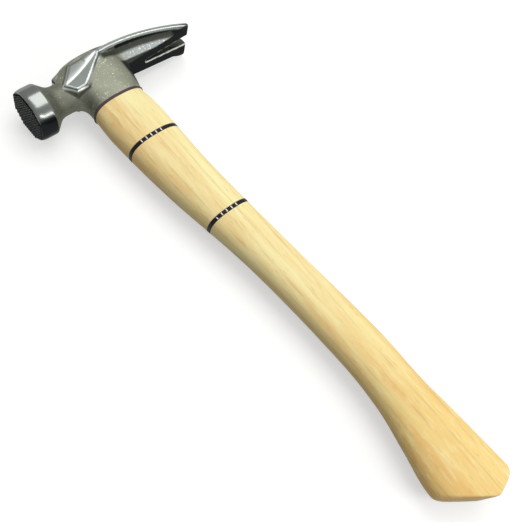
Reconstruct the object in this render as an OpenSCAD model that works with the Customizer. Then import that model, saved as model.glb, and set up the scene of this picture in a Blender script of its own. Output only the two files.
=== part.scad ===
// Framing hammer: a forged steel head with a milled face and a straight rip claw,
// hung on a curved hickory handle and held by one wooden and two steel wedges.
// Modelled upright (handle along Z, face towards -X, claw towards +X), then laid on its side.

/* [Overall] */
// Length from the top of the wedged tenon to the lowest point of the butt
overall_l = 404; // [380:1:450]

/* [Bell and face] */
// Distance of the striking face from the handle axis
face_reach = 58.1; // [52:0.1:66]
// Diameter of the striking face
face_d = 35.2; // [30:0.2:38]
// Diameter of the bell behind the face
bell_d = 37.6; // [36:0.2:46]
// Length of the bell from the face to its rear edge
bell_l = 13.1; // [9:0.1:15]
// Bevel round the rim of the face
face_bevel = 1; // [0.6:0.1:2]
// Length of the taper from the bevel to the bell's full width
rim_taper_l = 2.3; // [1:0.1:3]
// Length of the cone behind the bell
bell_cone_l = 7; // [4:0.2:9]

/* [Neck and crown] */
// Diameter of the neck behind the bell
neck_d = 23; // [22:0.2:28]
// Diameter of the neck at the front of the collar
neck_rear_d = 22.4; // [21:0.2:25]
// Length of the fillet where the bell's cone runs into the neck
neck_fillet = 2; // [1:0.1:3]
// Length of the sweep from the neck down to the front of the collar
neck_sweep_l = 15; // [11:0.5:18]
// Height of the crown above the head axis
crown_h = 18.6; // [17:0.2:22]
// Width of the flat land on the crown
crown_land_w = 20; // [18:0.5:26]
// Height above the head axis at which the crown's sides start to lean in
crown_side_h = 10; // [8:0.2:12]
// Width across the shoulders between the crown's sides and its land
crown_shoulder_w = 25.2; // [22:0.2:28]
// Height of those shoulders above the head axis
crown_shoulder_h = 15.6; // [14.4:0.2:16.6]
// Height of the crown's front wall where the ramp starts
crown_wall_h = 15.6; // [14.6:0.2:18]
// Width of the crown's front wall
crown_wall_w = 8; // [6:0.2:12]
// Distance of the crown's front wall from the handle axis
crown_wall_reach = 28; // [24:0.2:30]
// Length of the ramp from the front wall up to the crown
crown_ramp_l = 16; // [8:0.5:18]
// Width of the crown at the top of its ramp
crown_ramp_w = 20; // [17:0.2:28]
// Distance of the land's rear edge from the handle axis
crown_rear_reach = 18.5; // [16:0.5:22]
// Length of the slope from the land's rear edge down to the claw
crown_tail_l = 22; // [16:0.5:28]

/* [Eye] */
// Length of the eye, front to back
eye_l = 31; // [26:0.5:33]
// Width of the eye, side to side
eye_w = 19; // [15:0.5:21]
// Depth of the collar's rim below the head axis
collar_drop = 24.6; // [22:0.2:30]
// Length of the collar's rim, front to back
collar_l = 40.6; // [38:0.2:46]
// Width of the collar's rim, side to side
collar_w = 26.8; // [25:0.2:32]
// Extra length that the boss gains towards the claw
boss_flare = 4.4; // [0:0.2:8]
// Width of the boss under the crown
boss_w = 29.6; // [27:0.2:33]
// Height above the head axis up to which the boss keeps its full size
boss_high = 6; // [3:0.2:9]
// Depth below the head axis down to which the boss keeps its full size
boss_low = 4; // [2:0.2:8]
// Depth of the boss's top below the crown
boss_top_drop = 3; // [2:0.2:5]
// Narrowing of the boss all round at its top
boss_top_inset = 1.2; // [0.6:0.1:2]

/* [Cheek shields] */
// Width across the two polished shields at their front points
shield_span = 25.6; // [24:0.2:28]
// Distance of the shields' front points from the handle axis
shield_reach = 27.7; // [24:0.1:30]
// Height of the shields' front points above the head axis
shield_point_rise = 0.4; // [0:0.2:3]
// Distance of the shields' upper front corners from the handle axis
shield_top_reach = 15; // [13:0.2:19]
// Depth of the shields' upper edge below the claw's top
shield_top_drop = 0.8; // [0.2:0.1:1.4]
// Depth of the shields' lower corners below the head axis
shield_drop = 7.2; // [5:0.2:9]
// Distance of the shields' front lower corners from the handle axis
shield_low_reach = 21.6; // [19:0.2:24]
// Distance of the shields' rear lower corners from the handle axis
shield_heel_reach = 14; // [12:0.2:17]
// Height of the shields where they run into the claw's edge
shield_tail_h = 3.6; // [2:0.1:4.4]
// Steepness of the curve from the rear lower corners up to the claw's edge
shield_curve = 1.15; // [1:0.05:2]
// Slope of the faces inwards below their ridge, in mm for each mm
shield_lower_lean = 0.2; // [0.1:0.01:0.25]
// Slope of the faces inwards above their ridge, in mm for each mm
shield_upper_lean = 0.1; // [0.02:0.01:0.16]
// Spread of the shields' walls between their faces and the neck
shield_wall = 2.2; // [1:0.1:3]

/* [Claw] */
// Distance of the claw's tip from the handle axis
claw_reach = 79.6; // [70:0.2:95]
// Width of the claw
claw_w = 33; // [28:0.2:38]
// Radius of the claw's curved top
claw_top_r = 142; // [120:1:200]
// Height of the claw's top edge above the head axis at the eye
claw_top_h = 14; // [12:0.2:16]
// Distance from the handle axis at which the top starts to fall
claw_fall_reach = 16.5; // [10:0.5:24]
// Rise of the claw's top at its middle
claw_crown = 3.6; // [1:0.1:4.4]
// Thickness of the claw's overhanging edge
claw_edge_t = 4.6; // [3:0.1:6]
// Chamfer along the claw's edges
claw_chamfer = 1.3; // [0.6:0.1:1.6]
// Depth of the claw's underside below the head axis at the eye
claw_under = 4.4; // [2:0.1:6]
// Rise of the underside from the eye to the tip
claw_under_rise = 1.4; // [0:0.1:2]
// Width of the rib under the claw at its top
rib_top_w = 25; // [20:0.2:28]
// Width of the rib under the claw at its foot, near the eye
rib_foot_w = 14; // [12:0.2:20]
// Width of the rib at the claw's tip
rib_tip_w = 28; // [24:0.2:30]
// Distance of the nail slot's root from the handle axis
slot_reach = 40.5; // [36:0.5:52]
// Width of the nail slot at its root
slot_root_w = 3; // [2:0.1:4]
// Width of the nail slot at its mouth
slot_mouth_w = 12.4; // [7:0.2:14]

/* [Nail starter] */
// Diameter of the nail groove on top of the bell
groove_d = 4.8; // [3:0.2:7]
// Depth of the nail groove
groove_depth = 1.8; // [0.8:0.1:2.4]
// Diameter of the magnet
magnet_d = 4; // [2.5:0.1:5]
// Length of the magnet
magnet_l = 5; // [3:0.2:8]
// Height of the magnet above the head axis
magnet_h = 12.8; // [12:0.1:13.4]
// Length of the notch that takes the nail's head, in front of the magnet
notch_l = 5; // [3:0.2:7]
// Width of the notch
notch_w = 9.6; // [8:0.2:12]
// Height of the notch's floor above the head axis
notch_floor_h = 10.2; // [9:0.1:10.8]

/* [Handle] */
// Width of the handle at the collar, front to back
shoulder_l = 40.4; // [36:0.2:44]
// Thickness of the handle at the collar
shoulder_w = 26.6; // [24:0.2:30]
// Depth of the swell below the head axis
swell_at = 46; // [40:1:60]
// Width of the handle at the swell
swell_l = 42.6; // [38:0.2:48]
// Thickness of the handle at the swell
swell_w = 28.4; // [24:0.2:32]
// Set-back of the handle at the swell
swell_sweep = 0.6; // [0:0.1:3]
// Depth of the shaft station below the head axis
shaft_at = 101; // [85:1:120]
// Width of the handle at the shaft station
shaft_l = 37.8; // [34:0.2:42]
// Thickness of the handle at the shaft station
shaft_w = 27; // [23:0.2:30]
// Set-back of the handle at the shaft station
shaft_sweep = 2.9; // [0:0.1:8]
// Depth of the waist below the head axis
waist_at = 178; // [160:1:200]
// Width of the handle at the waist
waist_l = 31.4; // [28:0.2:36]
// Thickness of the handle at the waist
waist_w = 24.8; // [21:0.2:28]
// Set-back of the handle at the waist
waist_sweep = 10.8; // [4:0.1:16]
// Depth of the grip below the head axis
grip_at = 265; // [245:1:285]
// Width of the handle at the grip
grip_l = 32.8; // [29:0.2:38]
// Thickness of the handle at the grip
grip_w = 25; // [21:0.2:28]
// Set-back of the handle at the grip
grip_sweep = 16.2; // [8:0.1:22]
// Depth of the heel, where the grip starts to widen, below the head axis
heel_at = 302; // [295:1:310]
// Width of the handle at the heel
heel_l = 34.8; // [31:0.2:40]
// Thickness of the handle at the heel
heel_w = 25.6; // [22:0.2:29]
// Set-back of the handle at the heel
heel_sweep = 15; // [8:0.1:22]
// Exponent of the oval sections, 2 for an ellipse
oval_power = 2.5; // [2:0.1:3]

/* [Butt] */
// Height of the flare above the end of the butt
flare_up = 54.5; // [46:0.5:62]
// Width of the handle at the flare
flare_l = 42.8; // [38:0.2:48]
// Thickness of the handle at the flare
flare_w = 26.8; // [23:0.2:30]
// Set-back of the handle at the flare
flare_sweep = 12.9; // [6:0.1:20]
// Height of the knob above the end of the butt
knob_up = 29; // [22:1:38]
// Width of the handle at the knob
knob_l = 50; // [44:0.2:56]
// Thickness of the knob
knob_w = 27.6; // [23:0.2:31]
// Set-back of the knob
knob_sweep = 10.8; // [5:0.1:18]
// Width that the butt would have at its lowest point
butt_l = 51.2; // [44:0.2:56]
// Thickness of the butt at its lowest point
butt_w = 27.2; // [23:0.2:31]
// Set-back of the butt's middle
butt_sweep = 11.8; // [5:0.1:18]
// Set-back of the butt's lowest point
butt_point_sweep = 13.5; // [8:0.1:20]
// Height of the front corner above the butt's lowest point
butt_front_rise = 21.6; // [16:0.2:26]
// Height of the rear corner above the butt's lowest point
butt_rear_rise = 3.4; // [1:0.2:8]

/* [Wedges] */
// Depth of the wooden wedge below the top of the tenon
wood_wedge_depth = 27; // [20:0.5:32]
// Thickness of the wooden wedge at its top
wood_wedge_top = 4.4; // [3:0.1:6]
// Thickness of the wooden wedge at its tip
wood_wedge_tip = 1.2; // [0.8:0.1:2]
// Wood left at each end of the wooden wedge
wood_wedge_inset = 1.4; // [0.8:0.1:3]
// Distance between the two steel wedges
steel_wedge_pitch = 15; // [10:0.5:18]
// Width of a steel wedge
steel_wedge_w = 13; // [9:0.2:14]
// Depth of a steel wedge below the top of the tenon
steel_wedge_depth = 17; // [12:0.5:20]
// Thickness of a steel wedge at its top
steel_wedge_top = 2.6; // [1.8:0.1:4]
// Thickness of a steel wedge at its tip
steel_wedge_tip = 0.8; // [0.5:0.1:1.2]
// Height of the tenon above the crown
tenon_proud = 0.5; // [0.2:0.1:1.5]

/* [Bands and bead] */
// Depth of the upper band below the head axis
upper_band_at = 64.5; // [56:0.5:76]
// Depth of the lower band below the head axis
lower_band_at = 139; // [125:0.5:155]
// Width of each band
band_l = 3; // [2:0.1:5]
// Thickness of each band's film
band_t = 0.25; // [0.15:0.05:0.5]
// Thickness of the sealing bead between collar and wood
bead_t = 0.9; // [0.5:0.1:1.5]
// How far the bead stands proud of the collar
bead_proud = 0.3; // [0.1:0.05:0.6]

/* [Fits] */
// Gap between the tenon and the eye
eye_gap = 0.12; // [0.05:0.01:0.3]
// Gap round a wedge in its slot
wedge_gap = 0.06; // [0.02:0.01:0.15]
// Gap round the magnet in its pocket
magnet_gap = 0.05; // [0.02:0.01:0.1]
// Gap between a band's film and the wood
film_gap = 0.03; // [0.01:0.01:0.06]

/* [Hidden] */
$fn = 64;
// Points round an oval section, and spacing of the handle's rings
ring_points = 40;
ring_step = 9;
// Overrun of a cutting shape past the face that it cuts
over = 1;
// Overlap by which joined bodies of one forging run into each other
root = 6;
// Depth by which the neck's sweep lies under the neck and the collar's rim
sweep_lap = 0.2;
// Rings of the neck's sweep, the share of its quarter ellipse that they follow,
// and how far behind the collar's front they end
sweep_steps = 8;
sweep_share = 0.98;
sweep_inset = 3;
// Points along the curved edge of a shield
shield_steps = 6;
// Flats of the claw's cambered top on each side of its middle
camber_steps = 4;
// Room round the butt for the outline that cuts it
butt_room = 18;

tenon_top = crown_h + tenon_proud;
butt_end = overall_l - tenon_top;
face_x = -face_reach;
bell_x = face_x + bell_l;
neck_x = bell_x + bell_cone_l;
neck_r = neck_d / 2;
neck_rear_r = neck_rear_d / 2;
shoulder_d = collar_drop + bead_t;
// Place where the shields run into the claw's edge, and where the claw's plate starts
shield_rear = claw_fall_reach / 2;
plate_start = shield_rear - root;
boss_l = collar_l + boss_flare;
claw_axis_z = claw_top_h - claw_top_r;
// Front of the collar, where the neck's sweep ends
collar_x = -collar_l / 2;

// Handle stations: depth below the head axis, set-back, half length, half width
stations = [
    [shoulder_d, 0, shoulder_l / 2, shoulder_w / 2],
    [swell_at, swell_sweep, swell_l / 2, swell_w / 2],
    [shaft_at, shaft_sweep, shaft_l / 2, shaft_w / 2],
    [waist_at, waist_sweep, waist_l / 2, waist_w / 2],
    [grip_at, grip_sweep, grip_l / 2, grip_w / 2],
    [heel_at, heel_sweep, heel_l / 2, heel_w / 2],
    [butt_end - flare_up, flare_sweep, flare_l / 2, flare_w / 2],
    [butt_end - knob_up, knob_sweep, knob_l / 2, knob_w / 2],
    [butt_end + over, butt_sweep, butt_l / 2, butt_w / 2]
];

// Slope of column k at station i, from its neighbours
function slope(s, k, i) =
    let (lo = max(i - 1, 0), hi = min(i + 1, len(s) - 1))
    (s[hi][k] - s[lo][k]) / (s[hi][0] - s[lo][0]);

// Index of the span that holds depth d
function span_of(s, d, i = 0) =
    (i >= len(s) - 2 || d <= s[i + 1][0]) ? i : span_of(s, d, i + 1);

// Column k at depth d, on a smooth curve through the stations
function along(s, k, d) =
    let (i = span_of(s, d), h = s[i + 1][0] - s[i][0], u = (d - s[i][0]) / h)
    s[i][k] * (1 + 2 * u) * pow(1 - u, 2) + h * slope(s, k, i) * u * pow(1 - u, 2)
    + s[i + 1][k] * u * u * (3 - 2 * u) + h * slope(s, k, i + 1) * u * u * (u - 1);

// One coordinate of an oval: a cosine or sine raised to the oval's power
function oval_term(c) = sign(c) * pow(abs(c), 2 / oval_power);

// Oval outline with half length a and half width b
function oval(a, b) = [
    for (i = [0 : ring_points - 1])
        let (t = 360 * i / ring_points)
        [a * oval_term(cos(t)), b * oval_term(sin(t))]
];

// Oval ring at height z, shifted by x
function ring(x, z, a, b) = [for (p = oval(a, b)) [x + p[0], p[1], z]];

// Ring round the handle at depth d, grown outwards by a film's thickness
function handle_ring(d, grow = 0) =
    ring(along(stations, 1, d), -d, along(stations, 2, d) + grow, along(stations, 3, d) + grow);

// Depths from one end to the other in equal steps
function depths(first, last, step) =
    let (n = max(2, ceil((last - first) / step)))
    [for (i = [0 : n]) first + (last - first) * i / n];

// Height of the claw's top edge at x
function claw_z(x) = claw_axis_z + sqrt(pow(claw_top_r, 2) - pow(x - claw_fall_reach, 2));

// Angle at which radius r of the claw's curve stands over x
function claw_angle(x, r) = acos((x - claw_fall_reach) / r);

// Closed solid through a list of rings that run downwards
module loft(rings) {
    n = len(rings[0]);
    last = (len(rings) - 1) * n;
    sides = [
        for (j = [0 : len(rings) - 2], i = [0 : n - 1])
            let (a = j * n + i, b = j * n + (i + 1) % n)
            each [[a, b, b + n], [a, b + n, a + n]]
    ];
    top = [for (i = [1 : n - 2]) [0, i + 1, i]];
    foot = [for (i = [1 : n - 2]) [last, last + i, last + i + 1]];
    polyhedron(points = [for (r = rings) each r], faces = concat(sides, top, foot));
}

// Lays the upright hammer on its side, head towards +X, face towards +Y, on the plane Z = 0
module lay_down() {
    mid_x = (butt_end - tenon_top) / 2;
    mid_y = (claw_reach - face_reach) / 2;
    translate([mid_x, mid_y, bell_d / 2])
        rotate([0, 90, 0])
            rotate([0, 0, -90])
                children();
}

// Prism through both sides of the head from an outline in X and Z
module side_prism(width) {
    translate([0, width / 2, 0])
        rotate([90, 0, 0])
            linear_extrude(width)
                children();
}

// Turns a profile of radius and place about the head axis
module turned() {
    rotate([0, 90, 0])
        rotate_extrude()
            children();
}

// Face, bell and neck
module bell_and_neck() {
    turned()
        polygon([
            [0, face_x],
            [face_d / 2 - face_bevel / 2, face_x],
            [face_d / 2 + face_bevel / 2, face_x + face_bevel],
            [bell_d / 2, face_x + face_bevel + rim_taper_l],
            [bell_d / 2, bell_x],
            [neck_r + neck_fillet / 2, neck_x],
            [neck_r, neck_x + neck_fillet],
            [neck_rear_r, collar_x],
            [neck_rear_r, 0],
            [0, 0]
        ]);
}

// Ring across the head at x, round above the axis and drawn down by drop below it
function sweep_ring(x, drop) = [
    for (i = [0 : ring_points - 1])
        let (t = 360 * i / ring_points, r = neck_rear_r - sweep_lap)
        [x, r * cos(t), (sin(t) < 0 ? drop : r) * sin(t)]
];

// Sweep from the neck down to the front of the collar, on a quarter of an ellipse
module neck_sweep() {
    start = collar_x + sweep_inset - neck_sweep_l;
    drop = collar_drop - neck_rear_r;
    loft(concat(
        [sweep_ring(-boss_l / 4, collar_drop - 2 * sweep_lap)],
        [for (i = [sweep_steps : -1 : 0])
            let (u = i / sweep_steps)
            sweep_ring(start + neck_sweep_l * u,
                neck_rear_r - sweep_lap + drop * (1 - sqrt(1 - u * u * sweep_share)))]
    ));
}

// Oval boss round the eye, from the collar's rim up into the crown
module eye_boss() {
    loft([
        ring(boss_flare / 2, crown_h - boss_top_drop, boss_l / 2 - boss_top_inset,
            boss_w / 2 - boss_top_inset),
        ring(boss_flare / 2, boss_high, boss_l / 2, boss_w / 2),
        ring(boss_flare / 2, -boss_low, boss_l / 2, boss_w / 2),
        ring(0, -collar_drop, collar_l / 2, collar_w / 2)
    ]);
}

// Section across the crown: sides that lean in to a flat land
module crown_section() {
    for (side = [-1, 1])
        polygon([
            [0, 0],
            [side * boss_w / 2, 0],
            [side * boss_w / 2, crown_side_h],
            [side * crown_shoulder_w / 2, crown_shoulder_h],
            [side * crown_land_w / 2, crown_h + over],
            [0, crown_h + over]
        ]);
}

// Plan of the crown, which narrows along its ramp to the front wall
module crown_plan() {
    nose = -crown_wall_reach;
    for (side = [-1, 1])
        polygon([
            [nose, 0],
            [nose, side * crown_wall_w / 2],
            [nose + crown_ramp_l, side * crown_ramp_w / 2],
            [nose + 2 * crown_ramp_l, side * boss_w / 2],
            [boss_flare, side * boss_w / 2],
            [crown_rear_reach, side * crown_land_w / 2],
            [crown_rear_reach + crown_tail_l, side * crown_land_w / 2],
            [crown_rear_reach + crown_tail_l, 0]
        ]);
}

// Crown over the eye: a flat land between a ramp at the front and a slope down to the claw
module crown() {
    nose = -crown_wall_reach;
    tail = crown_rear_reach + crown_tail_l;
    intersection() {
        side_prism(boss_w)
            polygon([
                [nose, boss_low],
                [nose, crown_wall_h],
                [nose + crown_ramp_l, crown_h],
                [crown_rear_reach, crown_h],
                [tail, claw_z(tail) + claw_crown - over / 2],
                [tail, claw_z(tail) - over],
                [crown_rear_reach, claw_z(crown_rear_reach) - claw_edge_t / 2],
                [crown_rear_reach, boss_low]
            ]);
        rotate([90, 0, 90])
            translate([0, 0, nose])
                linear_extrude(tail - nose)
                    crown_section();
        linear_extrude(2 * crown_h)
            crown_plan();
    }
}

// Notch in front of the crown's wall that takes the nail's head
module nail_notch() {
    translate([-crown_wall_reach - notch_l, -notch_w / 2, notch_floor_h])
        cube([notch_l, notch_w, neck_d]);
}

// Corners of a cheek shield seen from the side, with the curve up to the claw's edge
shield_top = claw_top_h - shield_top_drop;
shield_heel = [-shield_heel_reach, -shield_drop];
shield_run = [shield_rear, shield_top - shield_tail_h] - shield_heel;
shield_outline = concat(
    [
        [shield_rear, shield_top],
        [-shield_top_reach, shield_top],
        [-shield_reach, shield_point_rise],
        [-shield_low_reach, -shield_drop]
    ],
    [for (i = [0 : shield_steps])
        let (u = i / shield_steps)
        shield_heel + [shield_run[0] * u, shield_run[1] * (1 - pow(1 - u, shield_curve))]]
);
shield_middle = [-shield_top_reach, shield_point_rise];

// Distance of a shield's face from the head's middle plane, highest along a ridge
// that runs from the front point up to the claw's edge
function shield_face(p) =
    let (
        u = (p[0] + shield_reach) / (shield_rear + shield_reach),
        above = p[1] - shield_point_rise - u * (shield_top - shield_point_rise)
    )
    shield_span / 2 + u * (claw_w - shield_span) / 2
    - (above < 0 ? -above * shield_lower_lean : above * shield_upper_lean);

// One of a shield's two rings: its face, and its wider root inside the head
function shield_face_ring() = [for (p = shield_outline) [p[0], -shield_face(p), p[1]]];
function shield_root_ring() = [
    for (p = shield_outline)
        let (q = p + shield_wall * (p - shield_middle) / norm(p - shield_middle))
        [q[0], root - neck_rear_r, q[1]]
];

// The pair of raised cheek shields
module cheek_shields() {
    for (side = [0, 1])
        mirror([0, side, 0])
            loft([shield_face_ring(), shield_root_ring()]);
}

// Section across the claw's plate, at its distance from the curve's axis, with a cambered top
module plate_section() {
    half = claw_w / 2;
    flat = half - claw_chamfer;
    r = claw_top_r;
    for (side = [-1, 1])
        polygon(concat(
            [
                [r - claw_edge_t, 0],
                [r - claw_edge_t, side * flat],
                [r - claw_edge_t + claw_chamfer, side * half],
                [r - claw_chamfer, side * half]
            ],
            [for (i = [camber_steps : -1 : 0])
                let (u = i / camber_steps)
                [r + claw_crown * (1 - u * u), side * flat * u]]
        ));
}

// Curved top plate of the claw, with chamfered edges
module claw_plate() {
    tip = claw_angle(claw_reach + claw_edge_t, claw_top_r);
    translate([claw_fall_reach, 0, claw_axis_z])
        rotate([90, 0, 0])
            rotate([0, 0, tip])
                rotate_extrude(angle = claw_angle(plate_start, claw_top_r) - tip)
                    plate_section();
}

// Ring across the rib at x, with its widths at the foot and at the top
function rib_ring(x, foot, top) = [
    [x, foot / 2, -claw_under - over],
    [x, top / 2, claw_top_h],
    [x, -top / 2, claw_top_h],
    [x, -foot / 2, -claw_under - over]
];

// Rib under the plate, which widens towards the tip
module claw_rib() {
    intersection() {
        loft([
            rib_ring(claw_reach + over, rib_tip_w, rib_tip_w),
            rib_ring(crown_rear_reach, rib_foot_w, rib_top_w)
        ]);
        translate([claw_fall_reach, claw_w / 2, claw_axis_z])
            rotate([90, 0, 0])
                cylinder(h = claw_w, r = claw_top_r - claw_edge_t / 2, $fn = 180);
    }
}

// Nail slot: a tapering gap with a round root
module nail_slot() {
    root_r = slot_root_w / 2;
    mouth_x = claw_reach + over;
    translate([0, 0, -claw_under - 2 * over])
        linear_extrude(claw_under + claw_top_h + 4 * over) {
            translate([slot_reach + root_r, 0])
                circle(root_r);
            polygon([
                [slot_reach + root_r, -root_r],
                [mouth_x, -slot_mouth_w / 2],
                [mouth_x, slot_mouth_w / 2],
                [slot_reach + root_r, root_r]
            ]);
        }
}

// Whole claw, trimmed by its underside and its tip
module claw() {
    low = -claw_under;
    intersection() {
        union() {
            claw_plate();
            claw_rib();
        }
        side_prism(claw_w + 2 * over)
            polygon([
                [0, low],
                [claw_reach, low + claw_under_rise],
                [claw_reach, claw_top_h + 2 * claw_crown + over],
                [0, claw_top_h + 2 * claw_crown + over]
            ]);
    }
}

// Seat of the magnet in the crown's front wall
module magnet_shape(grow) {
    translate([-crown_wall_reach, 0, magnet_h])
        rotate([0, 90, 0])
            cylinder(h = magnet_l + grow, d = magnet_d + 2 * grow);
}

module head() {
    color("dimgray")
        lay_down()
            difference() {
                union() {
                    bell_and_neck();
                    neck_sweep();
                    eye_boss();
                    crown();
                    cheek_shields();
                    claw();
                }
                translate([0, 0, -collar_drop - over])
                    linear_extrude(collar_drop + crown_h + 4 * over)
                        polygon(oval(eye_l / 2, eye_w / 2));
                nail_slot();
                nail_notch();
                translate([face_x - over, 0, bell_d / 2 - groove_depth + groove_d / 2])
                    rotate([0, 90, 0])
                        cylinder(h = neck_x - face_x + over, d = groove_d);
                magnet_shape(magnet_gap);
                translate([-crown_wall_reach - over, 0, magnet_h])
                    rotate([0, 90, 0])
                        cylinder(h = 2 * over, d = magnet_d + 2 * magnet_gap);
            }
}

// Wooden wedge along the eye, grown by a gap where it is cut out
module wood_wedge_shape(grow) {
    length = eye_l - 2 * wood_wedge_inset - 2 * eye_gap;
    top = wood_wedge_top / 2 + grow;
    tip = wood_wedge_tip / 2 + grow;
    rotate([90, 0, 90])
        translate([0, 0, -length / 2 - grow])
            linear_extrude(length + 2 * grow)
                polygon([
                    [-tip, tenon_top - wood_wedge_depth - grow],
                    [tip, tenon_top - wood_wedge_depth - grow],
                    [top, tenon_top],
                    [top, tenon_top + grow],
                    [-top, tenon_top + grow],
                    [-top, tenon_top]
                ]);
}

// The two steel wedges, set across the wooden one
module steel_wedge_shapes(grow) {
    top = steel_wedge_top / 2 + grow;
    tip = steel_wedge_tip / 2 + grow;
    for (side = [-1, 1])
        translate([side * steel_wedge_pitch / 2, 0, 0])
            side_prism(steel_wedge_w + 2 * grow)
                polygon([
                    [-tip, tenon_top - steel_wedge_depth - grow],
                    [tip, tenon_top - steel_wedge_depth - grow],
                    [top, tenon_top],
                    [top, tenon_top + grow],
                    [-top, tenon_top + grow],
                    [-top, tenon_top]
                ]);
}

// Outline that the butt is cut to, seen from the side
module butt_outline() {
    front = knob_sweep - knob_l / 2;
    rear = knob_sweep + knob_l / 2;
    polygon([
        [front - butt_room, over],
        [front - butt_room, butt_front_rise - butt_end],
        [front, butt_front_rise - butt_end],
        [butt_point_sweep, -butt_end],
        [rear, butt_rear_rise - butt_end],
        [rear + butt_room, butt_rear_rise - butt_end],
        [rear + butt_room, over]
    ]);
}

module handle() {
    color("burlywood")
        lay_down()
            difference() {
                union() {
                    intersection() {
                        loft([for (d = depths(shoulder_d, butt_end + over, ring_step)) handle_ring(d)]);
                        side_prism(3 * knob_w)
                            butt_outline();
                    }
                    translate([0, 0, -shoulder_d - root])
                        linear_extrude(tenon_top + shoulder_d + root)
                            polygon(oval(eye_l / 2 - eye_gap, eye_w / 2 - eye_gap));
                }
                wood_wedge_shape(wedge_gap);
                steel_wedge_shapes(wedge_gap);
            }
}

module wood_wedge() {
    color("peru")
        lay_down()
            difference() {
                wood_wedge_shape(0);
                steel_wedge_shapes(wedge_gap);
            }
}

module steel_wedges() {
    color("silver")
        lay_down()
            steel_wedge_shapes(0);
}

module nail_magnet() {
    color("lightgray")
        lay_down()
            magnet_shape(0);
}

// Bead of sealant that fills the joint between the collar's rim and the wood
module eye_bead() {
    color("saddlebrown")
        lay_down()
            translate([0, 0, -shoulder_d])
                linear_extrude(bead_t)
                    difference() {
                        polygon(oval(collar_l / 2 + bead_proud, collar_w / 2 + bead_proud));
                        polygon(oval(eye_l / 2 + eye_gap, eye_w / 2 + eye_gap));
                    }
}

// Film of ink round the handle at depth d
module ink_band(d) {
    color("black")
        lay_down()
            difference() {
                loft([for (e = depths(d - band_l / 2, d + band_l / 2, band_l)) handle_ring(e, band_t)]);
                loft([for (e = depths(d - band_l, d + band_l, band_l)) handle_ring(e, film_gap)]);
            }
}

module upper_band() {
    ink_band(upper_band_at);
}

module lower_band() {
    ink_band(lower_band_at);
}

head();
handle();
wood_wedge();
steel_wedges();
nail_magnet();
eye_bead();
upper_band();
lower_band();
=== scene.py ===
"""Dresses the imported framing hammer: a forged steel head on a curved hickory handle.

Shapes are worked out in millimetres in the hammer's own upright frame, with x towards
the claw, y away from the camera and z up the handle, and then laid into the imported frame.
"""

import itertools
import logging
import math
from dataclasses import dataclass, field
from enum import Enum
from typing import Callable, Sequence

import bpy
import numpy as np
from mathutils import Matrix, Vector


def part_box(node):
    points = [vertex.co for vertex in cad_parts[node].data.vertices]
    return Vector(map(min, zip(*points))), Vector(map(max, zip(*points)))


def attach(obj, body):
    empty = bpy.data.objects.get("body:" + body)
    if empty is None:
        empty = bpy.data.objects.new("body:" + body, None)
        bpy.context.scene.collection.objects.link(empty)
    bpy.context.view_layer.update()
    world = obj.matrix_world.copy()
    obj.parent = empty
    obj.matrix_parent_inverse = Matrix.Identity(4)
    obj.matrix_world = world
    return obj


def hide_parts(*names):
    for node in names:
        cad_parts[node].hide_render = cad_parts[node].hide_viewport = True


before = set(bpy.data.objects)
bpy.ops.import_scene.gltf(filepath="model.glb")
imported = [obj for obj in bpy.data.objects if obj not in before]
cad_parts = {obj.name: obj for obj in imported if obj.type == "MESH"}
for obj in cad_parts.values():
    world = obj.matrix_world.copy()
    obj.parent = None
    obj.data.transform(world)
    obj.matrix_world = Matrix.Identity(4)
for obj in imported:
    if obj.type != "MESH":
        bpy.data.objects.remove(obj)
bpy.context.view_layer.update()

LOG = logging.getLogger("framing_hammer")
MM = 0.001
END_GRAIN = "end_grain"
BODY = "root"
# Distance in millimetres that leaves a cut without effect.
FAR = 20.0
Array = np.ndarray
Profile = tuple[float, float]
Tree = bpy.types.NodeTree
Socket = bpy.types.NodeSocket
Node = bpy.types.Node
Material = bpy.types.Material
Mesh = bpy.types.Mesh
Piece = bpy.types.Object


class Slot(Enum):
    """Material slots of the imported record."""

    STEEL = "forged_steel"
    HICKORY = "hickory"
    WEDGE_WOOD = "wedge_wood"
    WEDGE_STEEL = "wedge_steel"
    MAGNET = "magnet"
    SEALANT = "sealant"
    INK = "ink"


class Zone(Enum):
    """Point attributes of the head, each from 0 to 1, that its steel reads."""

    GROUND = "ground"
    SATIN = "satin"
    # Painted shade and painted dark reflections, in a very dark steel tone.
    BLACK = "black"
    # Painted glints, and a paler tone that paints the lit sides of the claw's rib.
    SPARKLE = "sparkle"
    # Bright edges, partly rubbed and partly painted highlight, and painted highlights on bevelled edges and
    # facets.
    EDGE = "edge"


class MixSocket(Enum):
    """Places of a colour Mix node's sockets, whose names repeat for each type."""

    FIRST = 6
    SECOND = 7
    RESULT = 2


def linear(code: str) -> tuple[float, float, float, float]:
    """Turns an sRGB hex colour into linear light.

    Args:
        code: Colour as "#rrggbb".

    Returns:
        Linear red, green, blue and an alpha of 1.
    """
    channels = [int(code[i : i + 2], 16) / 255 for i in (1, 3, 5)]
    light = [c / 12.92 if c <= 0.04045 else ((c + 0.055) / 1.055) ** 2.4 for c in channels]
    return (light[0], light[1], light[2], 1.0)


def per_mm(size: float) -> float:
    """Texture scale, in cycles a metre, that draws features of a size in millimetres."""
    return 1.0 / (size * MM)


def feed(tree: Tree, node: Node, inputs: dict) -> None:
    """Gives a node's inputs their values and links.

    Args:
        tree: Node tree that holds the node.
        node: Node to feed.
        inputs: Input name or place, with a value or an output socket to link.
    """
    for key, value in inputs.items():
        if isinstance(value, Socket):
            tree.links.new(value, node.inputs[key])
        else:
            node.inputs[key].default_value = value


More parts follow.
